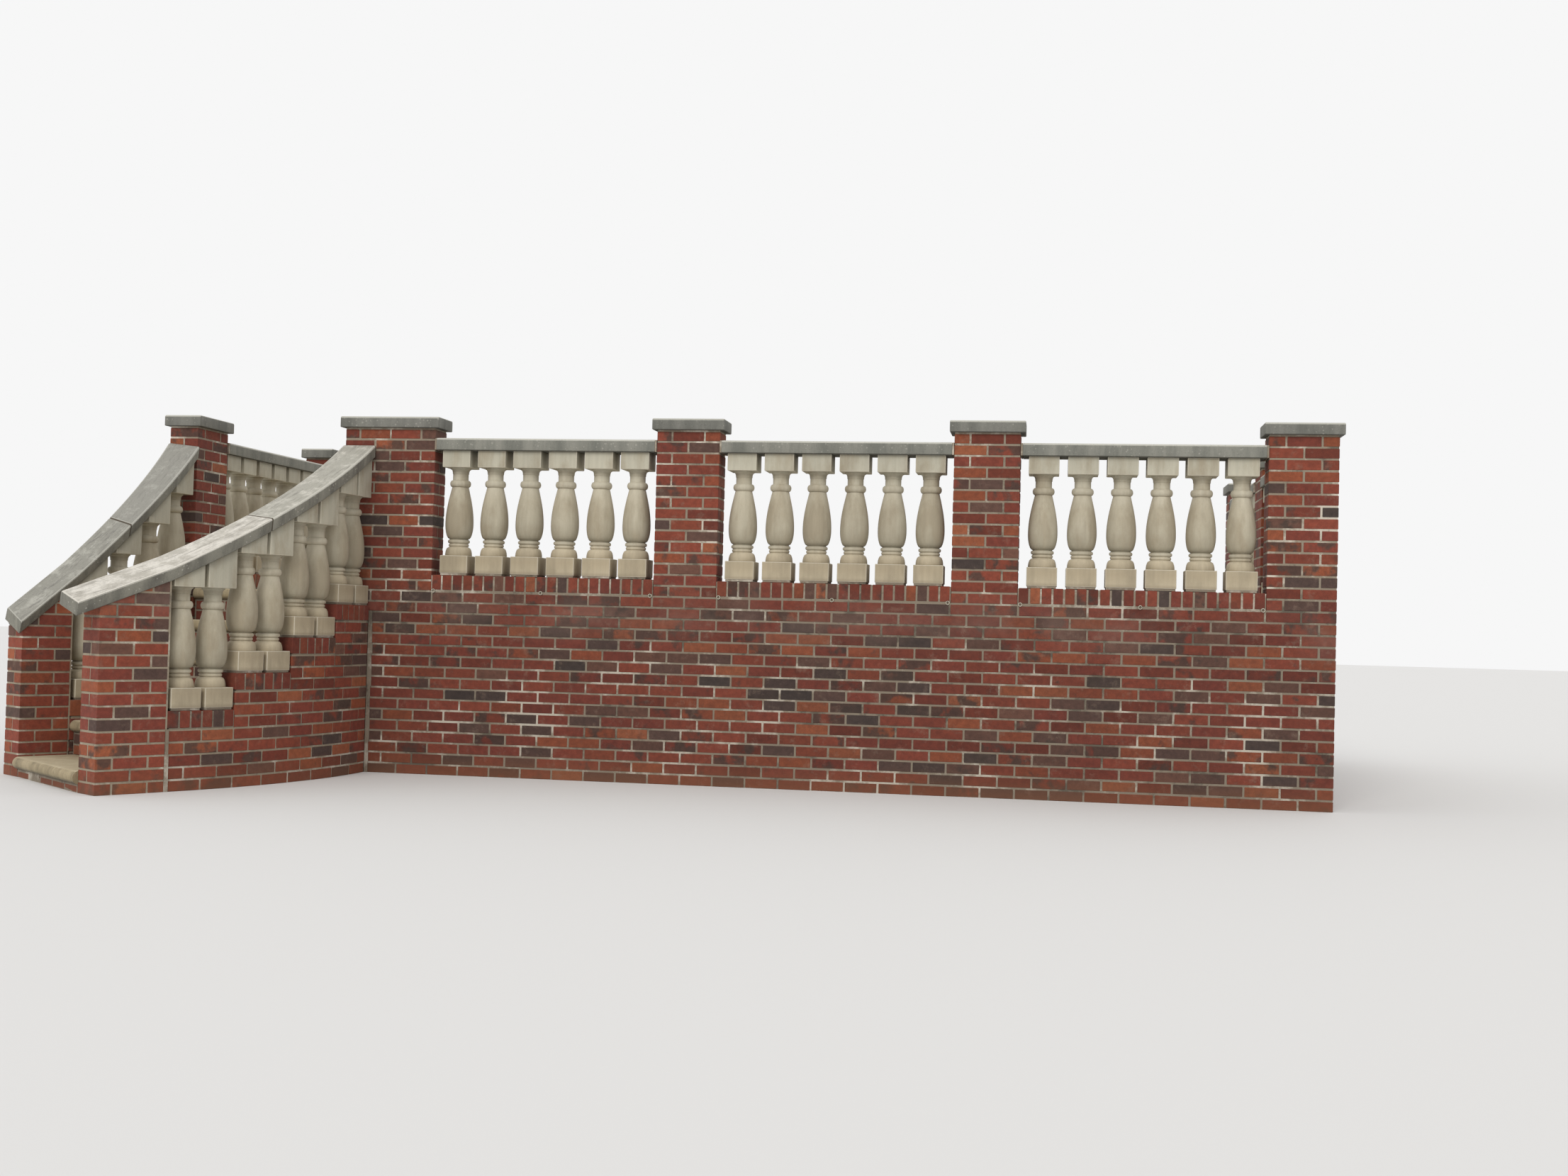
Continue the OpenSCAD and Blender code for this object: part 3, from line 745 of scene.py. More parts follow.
@dataclass
class Masonry:
    """Bricks laid one at a time, and the mortar that they lie in.

    Attributes:
        name: Name of its node.
        seed: Seed of its random choices.
        dark: Share of flashed bricks, from 0 to 1.
        painted_light: How much lighter its bricks are painted, as painted light, from 0 to 2.
        joint: Width of its joints.
        recess: How far the mortar stands back in them.
        bed: Bed joint under bricks on edge.
        uneven: Most that a face of a brick falls short of its space.
        lost: Most that a corner of it is rubbed off as well.
        arris: Width of its eased arris.
    """

    name: str
    seed: int
    dark: float = 0.2
    painted_light: float = 0.0
    joint: float = 9.4 * MM
    recess: float = 3.6 * MM
    bed: float = 5 * MM
    uneven: float = 1.5 * MM
    lost: float = 0.8 * MM
    arris: float = 2.4 * MM

    def __post_init__(self) -> None:
        """Start with no brick laid."""
        self.rng = random.Random(self.seed)
        self.bricks, self.core = bmesh.new(), bmesh.new()
        self.tag = self.bricks.faces.layers.float_vector.new("brick")

    def lay(self, size: Sequence[float], place: Callable[[Vector], Vector]) -> None:
        """Lay one brick, a little smaller and less even than its space, as real ones are.

        Args:
            size: Length, depth and height of its space.
            place: Turns a point of the brick, from its middle, into a point of the model.
        """
        rng = self.rng
        short = {(a, s): rng.uniform(0, self.uneven) for a in range(3) for s in (-1, 1)}
        made = bmesh.ops.create_cube(self.bricks, size=1)["verts"]
        for vert in made:
            signs = [1 if c > 0 else -1 for c in vert.co]
            out = (size[a] / 2 - short[a, s] - rng.uniform(0, self.lost) for a, s in enumerate(signs))
            vert.co = place(Vector(s * far for s, far in zip(signs, out)))
        # The reds and oranges stand below 0.77 on the colour ramp, the flashed ones above.
        tone = rng.uniform(0.79, 1) if rng.random() < self.dark else rng.uniform(0, 0.77)
        # The third part is the brick's own tone, raised by the painted light.
        look = Vector((tone, rng.random(), rng.random() + self.painted_light))
        for face in {f for vert in made for f in vert.link_faces}:
            face[self.tag] = look

    def wall(
        self,
        lo: Vector,
        hi: Vector,
        way: Way = Way.ALONG_X,
        first: int = 0,
        butts: tuple[bool, bool] = (False, False),
        wythes: int = 2,
        frame: Matrix = LEVEL,
        module: float = 202.4 * MM,
    ) -> None:
        """Lay a straight wall in running bond, with through bricks at its ends.

        Args:
            lo: Lowest corner.
            hi: Highest corner.
            way: Direction that it runs in.
            first: Number of its lowest course, which sets the bond.
            butts: Whether each end stands against other work, with a joint.
            wythes: Bricks in its thickness.
            frame: Axes that the corners are measured in.
            module: Length of a brick and its joint, made to fit.
        """
        run, across = way.value, 1 - way.value
        start = lo[run] + self.joint * butts[0]
        stop = hi[run] - self.joint * butts[1]
        thick = hi[across] - lo[across]
        count = max(1, round((hi[2] - lo[2]) / COURSE))
        rise = (hi[2] - lo[2]) / count
        halves = max(1, round((stop - start + self.joint) / module * 2))
        half = (stop - start + self.joint) / halves
        depth = (thick - self.joint * (wythes - 1)) / wythes
        for i in range(count):
            for at, wide in bond(halves, bool((i + first) % 2)):
                length = wide * half - self.joint
                rows = 1 if wide == 1 else wythes
                deep = thick if rows == 1 else depth
                for row in range(rows):
                    middle = Vector((0, 0, lo[2] + (i + 0.5) * rise - self.joint / 2))
                    middle[run] = start + at * half + length / 2
                    middle[across] = lo[across] + deep / 2 + row * (depth + self.joint)
                    size = [0.0, 0.0, rise - self.joint]
                    size[run], size[across] = length, deep
                    self.lay(size, lambda v, m=middle: frame @ (m + v))
        gaps = [Vector((self.recess, self.recess, 0)) for _ in butts]
        for gap, butt in zip(gaps, butts):
            if butt:
                gap[run] = 0
        block(self.core, lo + gaps[0], hi - gaps[1], frame)

    def on_edge(
        self, lo: Vector, hi: Vector, way: Way, gap: float = 4 * MM, pitch: float = 67.9 * MM
    ) -> None:
        """Lay a row of bricks on edge across a wall, with a bed joint under it.

        Args:
            lo: Lowest corner of the row.
            hi: Highest corner of the row.
            way: Direction that the row runs in.
            gap: How far the mortar stands back.
            pitch: Width of a brick and its joint, made to fit.
        """
        run, across = way.value, 1 - way.value
        count = round((hi[run] - lo[run] + self.joint) / pitch)
        pitch = (hi[run] - lo[run]) / count
        foot = lo[2] + self.bed
        for i in range(count):
            middle = Vector((0, 0, (foot + hi[2]) / 2))
            middle[run] = lo[run] + (i + 0.5) * pitch
            middle[across] = (lo[across] + hi[across]) / 2
            size = [0.0, 0.0, hi[2] - foot]
            size[run], size[across] = pitch - self.joint, hi[across] - lo[across]
            self.lay(size, lambda v, m=middle: m + v)
        inset = Vector((0, 0, 0))
        inset[across] = gap
        block(self.core, lo + inset, hi - inset - Vector((0, 0, gap)))

    def wedge(
        self, curve: Curve, radii: tuple[float, float], angles: tuple[float, float], z: tuple[float, float]
    ) -> None:
        """Lay one brick of a curved wall, cut to a wedge.

        Args:
            curve: The stair's curve.
            radii: Its inner and outer radius.
            angles: Where it starts and ends, with half a joint at each end.
            z: Its bottom and top.
        """
        r_mid = (radii[0] + radii[1]) / 2
        reach = math.radians(angles[1] - angles[0]) / 2
        size = (radii[1] - radii[0], 2 * reach * radii[1], z[1] - z[0])
        middle = (angles[0] + angles[1]) / 2

        def place(v: Vector) -> Vector:
            """Bend a point of the brick onto the curve."""
            r = r_mid + v.x
            turn = v.y / (size[1] / 2) * (reach - self.joint / 2 / r)
            return curve.at(r, middle - math.degrees(turn), (z[0] + z[1]) / 2 + v.z)

        self.lay(size, place)

    def ring(
        self, curve: Curve, radii: tuple[float, float], angles: tuple[float, float], z: tuple[float, float]
    ) -> None:
        """Put a bent block of mortar inside a curved wall.

        Args:
            curve: The stair's curve.
            radii: Its inner and outer radius.
            angles: Where it starts and ends down the stair.
            z: Its bottom and top.
        """
        corners = [(radii[0], z[0]), (radii[1], z[0]), (radii[1], z[1]), (radii[0], z[1])]
        face = self.core.faces.new([self.core.verts.new(curve.at(r, angles[0], h)) for r, h in corners])
        bmesh.ops.spin(
            self.core,
            geom=[face, *face.edges, *face.verts],
            cent=curve.centre,
            axis=(0, 0, 1),
            angle=-math.radians(angles[1] - angles[0]),
            steps=max(2, round(abs(angles[1] - angles[0]) / 2)),
        )

    def cut(self, point: Vector, normal: Vector) -> None:
        """Cut bricks and mortar off above a sloping plane and close the cut.

        Args:
            point: A point of the plane.
            normal: Its upward normal.
        """
        for bm, drop in ((self.bricks, 0.0), (self.core, 1 * MM)):
            geom = [*bm.verts, *bm.edges, *bm.faces]
            done = bmesh.ops.bisect_plane(
                bm, geom=geom, plane_co=point - normal * drop, plane_no=normal, clear_outer=True
            )
            rim = [e for e in done["geom_cut"] if isinstance(e, bmesh.types.BMEdge) and e.is_boundary]
            bmesh.ops.holes_fill(bm, edges=rim, sides=0)

    def build(self, slot: Slot = Slot.BRICK) -> None:
        """Ease the bricks' arrises, and make the bricks and the mortar two pieces."""
        ease(self.bricks, self.bricks.edges[:], self.arris)
        bmesh.ops.recalc_face_normals(self.core, faces=self.core.faces)
        piece(self.bricks, self.name + "_bricks", [BRICK], slot, (self.name,))
        # Where the bricks carry strong painted light, the mortar is the paler copy, which is painted light as
        # well.
        piece(self.core, self.name + "_mortar", [LIT_MORTAR if self.painted_light > 1 else MORTAR], slot)


@dataclass(frozen=True)
class WallRun:
    """How one node of straight brickwork is laid.

    Attributes:
        node: Name of the node.
        way: Direction that it runs in.
        first: Number of its lowest course.
        butts: Whether each end stands against other work.
        dark: Share of flashed bricks.
    """

    node: str
    way: Way
    first: int = 0
    butts: tuple[bool, bool] = (False, False)
    dark: float = 0.24


@dataclass
class Brickwork:
    """The straight walls, piers and sills round the terrace.

    Attributes:
        runs: The walls and piers. A pier starts at the course on top of the base wall.
        sills: The rows of bricks on edge.
        sill_dark: Share of flashed bricks in those rows.
    """

    runs: tuple[WallRun, ...] = (
        WallRun("front_base_wall", Way.ALONG_X, dark=0.22),
        WallRun("left_base_wall", Way.ALONG_Y),
        WallRun("right_base_wall", Way.ALONG_Y, 1, (True, False)),
        WallRun("corner_pier", Way.ALONG_X, 17, dark=0.22),
        WallRun("front_pier_2", Way.ALONG_X, 17, dark=0.13),
        WallRun("front_pier_3", Way.ALONG_X, 17, dark=0.13),
        WallRun("front_pier_4", Way.ALONG_X, 17, dark=0.13),
        WallRun("stair_pier", Way.ALONG_Y, 17),
        WallRun("left_piers", Way.ALONG_Y, 17),
        WallRun("right_piers", Way.ALONG_Y, 17),
        WallRun("landing_base", Way.ALONG_X, 1, (True, True)),
    )
    sills: tuple[tuple[str, Way], ...] = (
        ("front_sill_1", Way.ALONG_X),
        ("front_sill_2", Way.ALONG_X),
        ("front_sill_3", Way.ALONG_X),
        ("left_sills", Way.ALONG_Y),
        ("right_sills", Way.ALONG_Y),
    )
    sill_dark: float = 0.16

    def build(self) -> None:
        """Lay every straight wall and pier, and the bricks on edge under the balusters."""
        for seed, run in enumerate(self.runs, 100):
            work = Masonry(run.node, seed, run.dark)
            for solid in solids(run.node):
                work.wall(solid.lo, solid.hi, run.way, run.first, run.butts)
            work.build()
        for seed, (node, way) in enumerate(self.sills, 200):
            work = Masonry(node, seed, self.sill_dark)
            for solid in solids(node):
                work.on_edge(solid.lo, solid.hi, way)
            work.build(Slot.SILL)


def dressed(node: str, arris: float, segments: int = 3) -> Mesh:
    """Copy a stone node and ease its sharp arrises.

    Args:
        node: Name of the node.
        arris: Width of the eased arris.
        segments: Facets across the arris.

    Returns:
        The dressed stone.
    """
    bm = merged(node)
    worn = bm.faces.layers.float.new("worn")
    bmesh.ops.dissolve_limit(bm, angle_limit=SAME_FACE, verts=bm.verts, edges=bm.edges)
    sharp = [e for e in bm.edges if e.is_manifold and e.calc_face_angle(0) > SHARP]
    for face in ease(bm, sharp, arris, segments):
        face[worn] = 1.0
    return bm


def grained(bm: Mesh, along: Callable[[Vector], Vector]) -> None:
    """Note how each point lies along its stone, for the long marks of the weather.

    Args:
        bm: The stone.
        along: Turns a point into its place along, across and up the stone.
    """
    tag = bm.verts.layers.float_vector.new("along")
    for vert in bm.verts:
        vert[tag] = along(vert.co)


def joint(bm: Mesh, ring: Sequence[Vector], across: Vector, inset: float = 4 * MM) -> None:
    """Fill the joint at the end of a stone with mortar, struck back a little.

    Args:
        bm: Mesh that the mortar goes into.
        ring: Corners of the stone's end.
        across: From the stone's end to the other side of the joint.
        inset: How far the mortar stands behind the stone.
    """
    middle = sum(ring, Vector()) / len(ring)
    made = []
    for point in ring:
        inward = (middle - point).normalized() * inset
        made += [bm.verts.new(point + inward), bm.verts.new(point + inward + across)]
    bmesh.ops.convex_hull(bm, input=made)


@dataclass
class Coping:
    """The stone rails over the balusters and the caps on the piers.

    Attributes:
        arris: Width of the eased arrises.
        end_joint: Joint between a rail and its pier.
        smooth: Angle under which facets are shaded smooth.
        caps: Nodes of the caps.
        rails: Nodes of the rails, and the way that each runs.
    """

    arris: float = 6 * MM
    end_joint: float = 10 * MM
    smooth: float = 32
    caps: tuple[str, ...] = ("front_caps", "left_caps", "right_caps")
    rails: tuple[tuple[str, Way], ...] = (
        ("front_rail_1", Way.ALONG_X),
        ("front_rail_2", Way.ALONG_X),
        ("front_rail_3", Way.ALONG_X),
        ("left_rails", Way.ALONG_Y),
        ("right_rails", Way.ALONG_Y),
    )

    def build(self) -> None:
        """Dress the caps and the rails, and point the rails' end joints."""
        for node in self.caps:
            piece(dressed(node, self.arris), node + "_stone", [CAP], Slot.COPING, (node,), self.smooth)
        pointing = bmesh.new()
        for node, way in self.rails:
            run = way.value
            bm = dressed(node, self.arris)
            grained(bm, lambda p, r=run: Vector((p[r], p[1 - r], p.z)))
            piece(bm, node + "_stone", [COPING], Slot.COPING, (node,), self.smooth)
            for solid in solids(node):
                for end, sign in ((solid.lo, -1), (solid.hi, 1)):
                    ring = [p for p in solid.points if abs(p[run] - end[run]) < 0.5 * MM]
                    across = Vector((0, 0, 0))
                    across[run] = sign * self.end_joint
                    joint(pointing, ring, across)
        piece(pointing, "rail_end_pointing", [MORTAR], Slot.COPING)


@dataclass
class Balusters:
    """Turned vase balusters of cast stone, each on a bed of mortar.

    Attributes:
        block: Side of the square block and plinth.
        block_h: Height of the block under the rail.
        plinth_h: Height of the plinth.
        height: Height from plinth to rail.
        bed: Thickness of the mortar bed.
        bed_inset: How far the bed stands in from the plinth on each side.
        vase_r: Largest radius of the vase.
        neck_r: Radius of the neck.
        arris: Width of the eased arrises of block and plinth.
        clear: Gap left under a sloping rail.
        steps: Faces round the turned part.
        smooth: Angle under which facets are shaded smooth.
        straight: Nodes of the balusters under level rails.
        on_stair: Nodes of those under the handrails.
    """

    block: float = 180 * MM
    block_h: float = 106 * MM
    plinth_h: float = 112 * MM
    height: float = 772 * MM
    bed: float = 12 * MM
    bed_inset: float = 5 * MM
    vase_r: float = 87.5 * MM
    neck_r: float = 48.5 * MM
    arris: float = 4 * MM
    clear: float = 0.3 * MM
    steps: int = 40
    smooth: float = 38
    straight: tuple[str, ...] = (
        "front_balusters_1",
        "front_balusters_2",
        "front_balusters_3",
        "left_balusters",
        "right_balusters",
    )
    on_stair: tuple[str, ...] = ("near_stair_balusters", "far_stair_balusters")

    def outline(self) -> list[Vector]:
        """Draw the outline of the turned part, from the plinth up.

        Heights are shares of the turned part, and radii stand on that of the neck.

        Returns:
            Points of the outline in the XZ plane, above the plinth's bottom.
        """
        neck, vase = self.neck_r, self.vase_r
        foot, bell, lip = neck + 8.5 * MM, neck + 35 * MM, neck + 15.5 * MM

        def bead(low: float, high: float, root: float, out: float) -> list[tuple[float, float]]:
            """Draw a half-round ring between two heights, standing out from a radius."""
            turns = [math.pi / 8 * i for i in range(-4, 5)]
            mid, half = (low + high) / 2, (high - low) / 2
            return [(root + out * math.cos(t), mid + half * math.sin(t)) for t in turns]

        def sweep(
            low: float,
            high: float,
            inner: float,
            outer: float,
            share: Callable[[float], float],
            steps: int = 12,
        ) -> list[tuple[float, float]]:
            """Draw a curve between two heights, by its share of the way between two radii."""
            ups = [i / steps for i in range(1, steps + 1)]
            return [(inner + (outer - inner) * share(u), low + (high - low) * u) for u in ups]

        points = [
            (bell - 1 * MM, -0.002),
            (bell, 0.004),
            *sweep(0.004, 0.099, neck + 13.5 * MM, bell, lambda u: math.sqrt(1 - u * u), 8),
            (neck + 10 * MM, 0.102),
            *bead(0.104, 0.138, neck + 8 * MM, 6.5 * MM),
            *bead(0.142, 0.184, neck + 9.5 * MM, 10.5 * MM),
            (foot, 0.188),
            *sweep(0.188, 0.365, foot, vase, lambda u: math.sqrt(1 - (1 - u) ** 2)),
            *sweep(0.365, 0.779, neck + 3.5 * MM, vase, lambda u: math.cos(math.pi / 2 * u)),
            *bead(0.782, 0.861, neck + 1 * MM, 15.5 * MM),
            (neck, 0.866),
            (neck, 0.931),
            (neck + 2.5 * MM, 0.934),
            (neck + 2.5 * MM, 0.940),
            *sweep(0.940, 0.987, neck + 2.5 * MM, lip, lambda u: 1 - math.sqrt(1 - u * u), 7),
            (lip, 1.002),
        ]
        turned = self.height - self.block_h - self.plinth_h
        return [Vector((r, 0, self.plinth_h + turned * h)) for r, h in points]

    def template(self) -> bpy.types.Mesh:
        """Make one baluster at the origin, with its plinth's bottom at zero.

        Returns:
            Its mesh. The mortar bed has the second material.
        """
        bm = bmesh.new()
        worn = bm.faces.layers.float.new("worn")
        verts = [bm.verts.new(p) for p in self.outline()]
        edges = [bm.edges.new(pair) for pair in zip(verts, verts[1:])]
        bmesh.ops.spin(
            bm,
            geom=[*verts, *edges],
            cent=(0, 0, 0),
            axis=(0, 0, 1),
            angle=2 * math.pi,
            steps=self.steps,
            use_merge=True,
        )
        bmesh.ops.holes_fill(bm, edges=[e for e in bm.edges if e.is_boundary], sides=0)
        squares = []
        for half, low, high in (
            (self.block / 2, 0, self.plinth_h),
            (self.block / 2, self.height - self.block_h, self.height),
            (self.block / 2 - self.bed_inset, -self.bed, 0),
        ):
            made = block(bm, Vector((-half, -half, low)), Vector((half, half, high)))
            squares.append({f for v in made for f in v.link_faces})
        for face in squares[2]:
            face.material_index = 1
        arrises = {e for faces in squares[:2] for f in faces for e in f.edges}
        for face in ease(bm, list(arrises), self.arris, 3):
            face[worn] = 1.0
        bmesh.ops.recalc_face_normals(bm, faces=bm.faces)
        mesh = bpy.data.meshes.new("baluster_template")
        bm.to_mesh(mesh)
        bm.free()
        return mesh

    def stand(self, node: str, template: bpy.types.Mesh, seed: int, curve: Curve | None = None) -> None:
        """Stand a baluster in the place of each one of a node.

        Args:
            node: Name of the node.
            template: One baluster at the origin.
            seed: Seed of its random choices.
            curve: The stair's curve, for balusters under a sloping rail.
        """
        rng = random.Random(seed)
        bm = bmesh.new()
        tag = bm.verts.layers.float_vector.new("cast")
        for solid in solids(node):
            before = len(bm.verts)
            bm.from_mesh(template)
            bm.verts.ensure_lookup_table()
            middle = solid.middle
            turn = -math.radians(curve.angle_of(middle)) if curve else 0.0
            quarter = Matrix.Rotation(math.pi / 2 * rng.randrange(4), 3, "Z")
            foot = Matrix.Translation((middle.x, middle.y, solid.lo.z + self.bed))
            place = foot @ Matrix.Rotation(turn, 4, "Z")
            own, other = rng.random(), rng.random()
            drop = self.slope(solid, place) if curve else None
            for vert in bm.verts[before:]:
                vert[tag] = Vector((own, max(0.0, vert.co.z / self.height), other))
                co = quarter @ vert.co
                if drop and vert.co.z > self.height - self.block_h / 2:
                    co.z += drop(co)
                vert.co = place @ co
        piece(bm, node + "_cast", [CAST, MORTAR], Slot.BALUSTER, (node,), self.smooth)

    def slope(self, solid: Solid, place: Matrix) -> Callable[[Vector], float]:
        """Fit a plane to the top of a baluster's sloping block.

        Args:
            solid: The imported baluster.
            place: Axes of the baluster.

        Returns:
            How far a point of the level block's top moves up.
        """
        back = place.inverted()
        top = [back @ p for p in solid.points]
        reach = self.block / 2 - 1 * MM
        low = self.height - self.block_h + 0.5 * MM
        corner = {
            (sx, sy): max(p.z for p in top if p.x * sx > reach and p.y * sy > reach and p.z > low)
            for sx in (-1, 1)
            for sy in (-1, 1)
        }
        rise = sum(corner.values()) / 4 - self.height - self.clear
        by_x, by_y = (sum(z * at[i] for at, z in corner.items()) / 2 / self.block for i in (0, 1))
        return lambda p: rise + by_x * p.x + by_y * p.y

    def build(self, curve: Curve) -> None:
        """Stand every baluster."""
        template = self.template()
        for seed, node in enumerate(self.straight, 300):
            self.stand(node, template, seed)
        for seed, node in enumerate(self.on_stair, 320):
            self.stand(node, template, seed, curve)
        bpy.data.meshes.remove(template)


@dataclass
class CurvedStair:
    """The curved brick stair with its stepped cheeks, newels and stone handrails.

    Attributes:
        curve: The curve of the stair.
        low_courses: Courses in the lowest step of a cheek.
        step_courses: Courses in a step.
        floor_drop: Drop from the top of the base wall to the landing.
        tread: Thickness of a tread.
        riser: Thickness of the brickwork under it.
        dark: Share of flashed bricks in cheeks and newels.
        sill_dark: Share of them in the bricks on edge.
        core_dark: Share of them in the risers.
        painted_light: How much lighter the bricks of cheeks, steps and newels are painted, as painted light.
        set_in: How much further bent mortar stands back, whose faces are chords.
        clear: Gap between the risers and the cheeks.
        foot_gap: How far the mortar of the lowest course stands back.
        rail_arris: Width of the handrails' eased arrises.
        tread_arris: Width of the treads' eased arrises.
        head_joint: Joint between a handrail and its pier.
        corner_joint: Width of the upright joint at the terrace wall.
        corner_courses: Courses that it runs up.
        newel_joint: Width of the upright joint at the near newel.
        newel_courses: Courses that it runs up.
        corner_proud: How far the mortar of the first stands out.
        newel_proud: How far that of the second stands out.
        smeared: Most that the mortar stands further out.
        ragged: Most that such a joint is wider or narrower.
        smooth: Angle under which facets are shaded smooth.
    """

    curve: Curve = field(default_factory=Curve)
    low_courses: int = 5
    step_courses: int = 3
    floor_drop: float = 18 * MM
    tread: float = 72 * MM
    riser: float = 92 * MM
    dark: float = 0.13
    sill_dark: float = 0.1
    core_dark: float = 0.15
    painted_light: tuple[float, float, float] = (1.5, 0.9, 2.0)
    set_in: float = 3 * MM
    clear: float = 0.4 * MM
    foot_gap: float = 4 * MM
    rail_arris: float = 11 * MM
    tread_arris: float = 3 * MM
    head_joint: float = 10 * MM
    corner_joint: float = 26 * MM
    corner_courses: int = 15
    newel_joint: float = 20 * MM
    newel_courses: int = 5
    corner_proud: float = 5 * MM
    newel_proud: float = 2 * MM
    smeared: float = 1.5 * MM
    ragged: float = 5 * MM
    smooth: float = 32

    def step_top(self, k: int) -> float:
        """Top of the brickwork of a cheek's step, counted from 0 at the pier."""
        return COURSE * (self.low_courses + self.step_courses * (self.curve.steps - 1 - k))

    def tread_top(self, k: int) -> float:
        """Top of a tread, counted from 0 at the foot."""
        return WALL_TOP - self.floor_drop - COURSE * self.step_courses * (self.curve.steps + 1 - k)

    def cheek(self, node: str, inner: float, halves: int, seed: int) -> None:
        """Lay a stepped curved wall.

        Args:
            node: Name of the node.
            inner: Its inner radius.
            halves: Half bricks in a step.
            seed: Seed of its random choices.
        """
        curve, work = self.curve, Masonry(node, seed, self.dark, self.painted_light[0])
        outer = inner + curve.thickness
        depth = (curve.thickness - work.joint) / 2
        unit = curve.step / halves
        spare = math.degrees(work.joint / 2 / (inner + outer) * 2)
        for i in range(self.low_courses + self.step_courses * (curve.steps - 1)):
            reach = curve.steps - max(0, math.ceil((i + 1 - self.low_courses) / self.step_courses))
            z = (i * COURSE, (i + 1) * COURSE - work.joint)
            for at, wide in bond(reach * halves, bool(i % 2)):
                last = spare if at + wide == reach * halves else 0.0
                first = spare if at == 0 else 0.0
                span = (at * unit + first, (at + wide) * unit + last)
                rows = [(inner, outer)] if wide == 1 else [(inner, inner + depth), (outer - depth, outer)]
                for radii in rows:
                    work.wedge(curve, radii, span, z)
        gap = work.recess + self.set_in
        back = math.degrees(gap / inner)
        for k in range(curve.steps):
            span = (max(0.0, k * curve.step - 2 * back), (k + 1) * curve.step - back)
            work.ring(curve, (inner + gap, outer - gap), span, (0, self.step_top(k)))
        work.build()

    def step_sills(self, node: str, inner: float, bricks: int, seed: int) -> None:
        """Lay the bricks on edge on top of a cheek's steps.

        Args:
            node: Name of the node.
            inner: Inner radius of the cheek.
            bricks: Bricks on a step.
            seed: Seed of its random choices.
        """
        curve, work = self.curve, Masonry(node, seed, self.sill_dark, self.painted_light[1])
        outer, gap = inner + curve.thickness, work.bed
        unit = curve.step / bricks
        spare = math.degrees(work.joint / 2 / (inner + outer) * 2)
        for k, solid in enumerate(sorted(solids(node), key=lambda s: -s.lo.z)):
            start = k * curve.step
            for i in range(bricks):
                last = spare if i == bricks - 1 else 0.0
                span = (start + i * unit, start + (i + 1) * unit + last)
                work.wedge(curve, (inner, outer), span, (solid.lo.z + work.bed, solid.hi.z))
            span = (start, start + curve.step - math.degrees(2 * gap / inner))
            work.ring(curve, (inner + gap, outer - gap), span, (solid.lo.z, solid.hi.z - gap))
        work.build(Slot.SILL)

    def newel(self, node: str, inner: float, seed: int) -> None:
        """Lay a newel and cut its top to the slope of the handrail.

        Args:
            node: Name of the node.
            inner: Inner radius of the cheek that it ends.
            seed: Seed of its random choices.
        """
        beyond = self.curve.beyond
        back = beyond.inverted()
        (solid,) = solids(node)
        local = [back @ p for p in solid.points]
        length, outer = max(p.x for p in local), inner + self.curve.thickness

        def corner(x: float, y: float) -> Vector:
            """Find the newel's upper corner at a place in its plan."""
            here = [p for p in local if abs(p.x - x) < 1 * MM and abs(p.y - y) < 1 * MM]
            return max(here, key=lambda p: p.z)

        a, b, c = corner(0, inner), corner(length, inner), corner(0, outer)
        work = Masonry(node, seed, self.dark, self.painted_light[2])
        top = math.ceil(max(p.z for p in local) / COURSE) * COURSE
        low, high = Vector((0, inner, 0)), Vector((length, outer, top))
        work.wall(low, high, first=1, butts=(True, False), frame=beyond)
        normal = beyond.to_3x3() @ (b - a).cross(c - a).normalized()
        work.cut(beyond @ (a - Vector((0, 0, 1 * MM))), normal)
        work.build()

    def risers(self) -> None:
        """Lay the brick risers under the curved treads, and the fill behind them."""
        curve, work = self.curve, Masonry("stair_core", 420, self.core_dark)
        lo, hi = curve.far_r + self.clear, curve.near_r - self.clear
        for k in range(1, curve.steps + 1):
            angle = (curve.steps + 1 - k) * curve.step - curve.set_back
            low, high = self.tread_top(k - 1), self.tread_top(k) - self.tread
            work.wall(
                Vector((lo, 0, low)),
                Vector((hi, self.riser, high)),
                first=k,
                butts=(True, True),
                wythes=1,
                frame=curve.frame(angle),
                module=200.6 * MM,
            )
            start = 0.0 if k == curve.steps else angle - curve.step - 1
            work.ring(curve, (lo, hi), (start, angle - math.degrees(work.recess / lo)), (0, high))
        work.build()

    def foot(self) -> None:
        """Lay the course under the lowest tread."""
        curve, work = self.curve, Masonry("foot_step_base", 430, self.core_dark)
        back = curve.beyond.inverted()
        (solid,) = solids("foot_step_base")
        local = [back @ p for p in solid.points]
        far_end = max((p for p in local if p.y < curve.far_r + 5 * MM), key=lambda p: p.x)
        near_end = max((p for p in local if p.y > curve.near_r - 5 * MM), key=lambda p: p.x)
        across = (near_end - far_end).xy
        skew = math.atan2(across.x, across.y)
        turn = Matrix.Translation((far_end.x, far_end.y, 0)) @ Matrix.Rotation(math.pi / 2 - skew, 4, "Z")
        work.wall(
            Vector((0, 0, 0)),
            Vector((across.length, self.riser, solid.hi.z)),
            butts=(True, True),
            wythes=1,
            frame=curve.beyond @ turn,
        )
        made = []
        for point in solid.points:
            inward = Vector((*(solid.middle - point).xy, 0)).normalized() * self.foot_gap
            made.append(work.core.verts.new(point + inward))
        bmesh.ops.convex_hull(work.core, input=made)
        work.build()

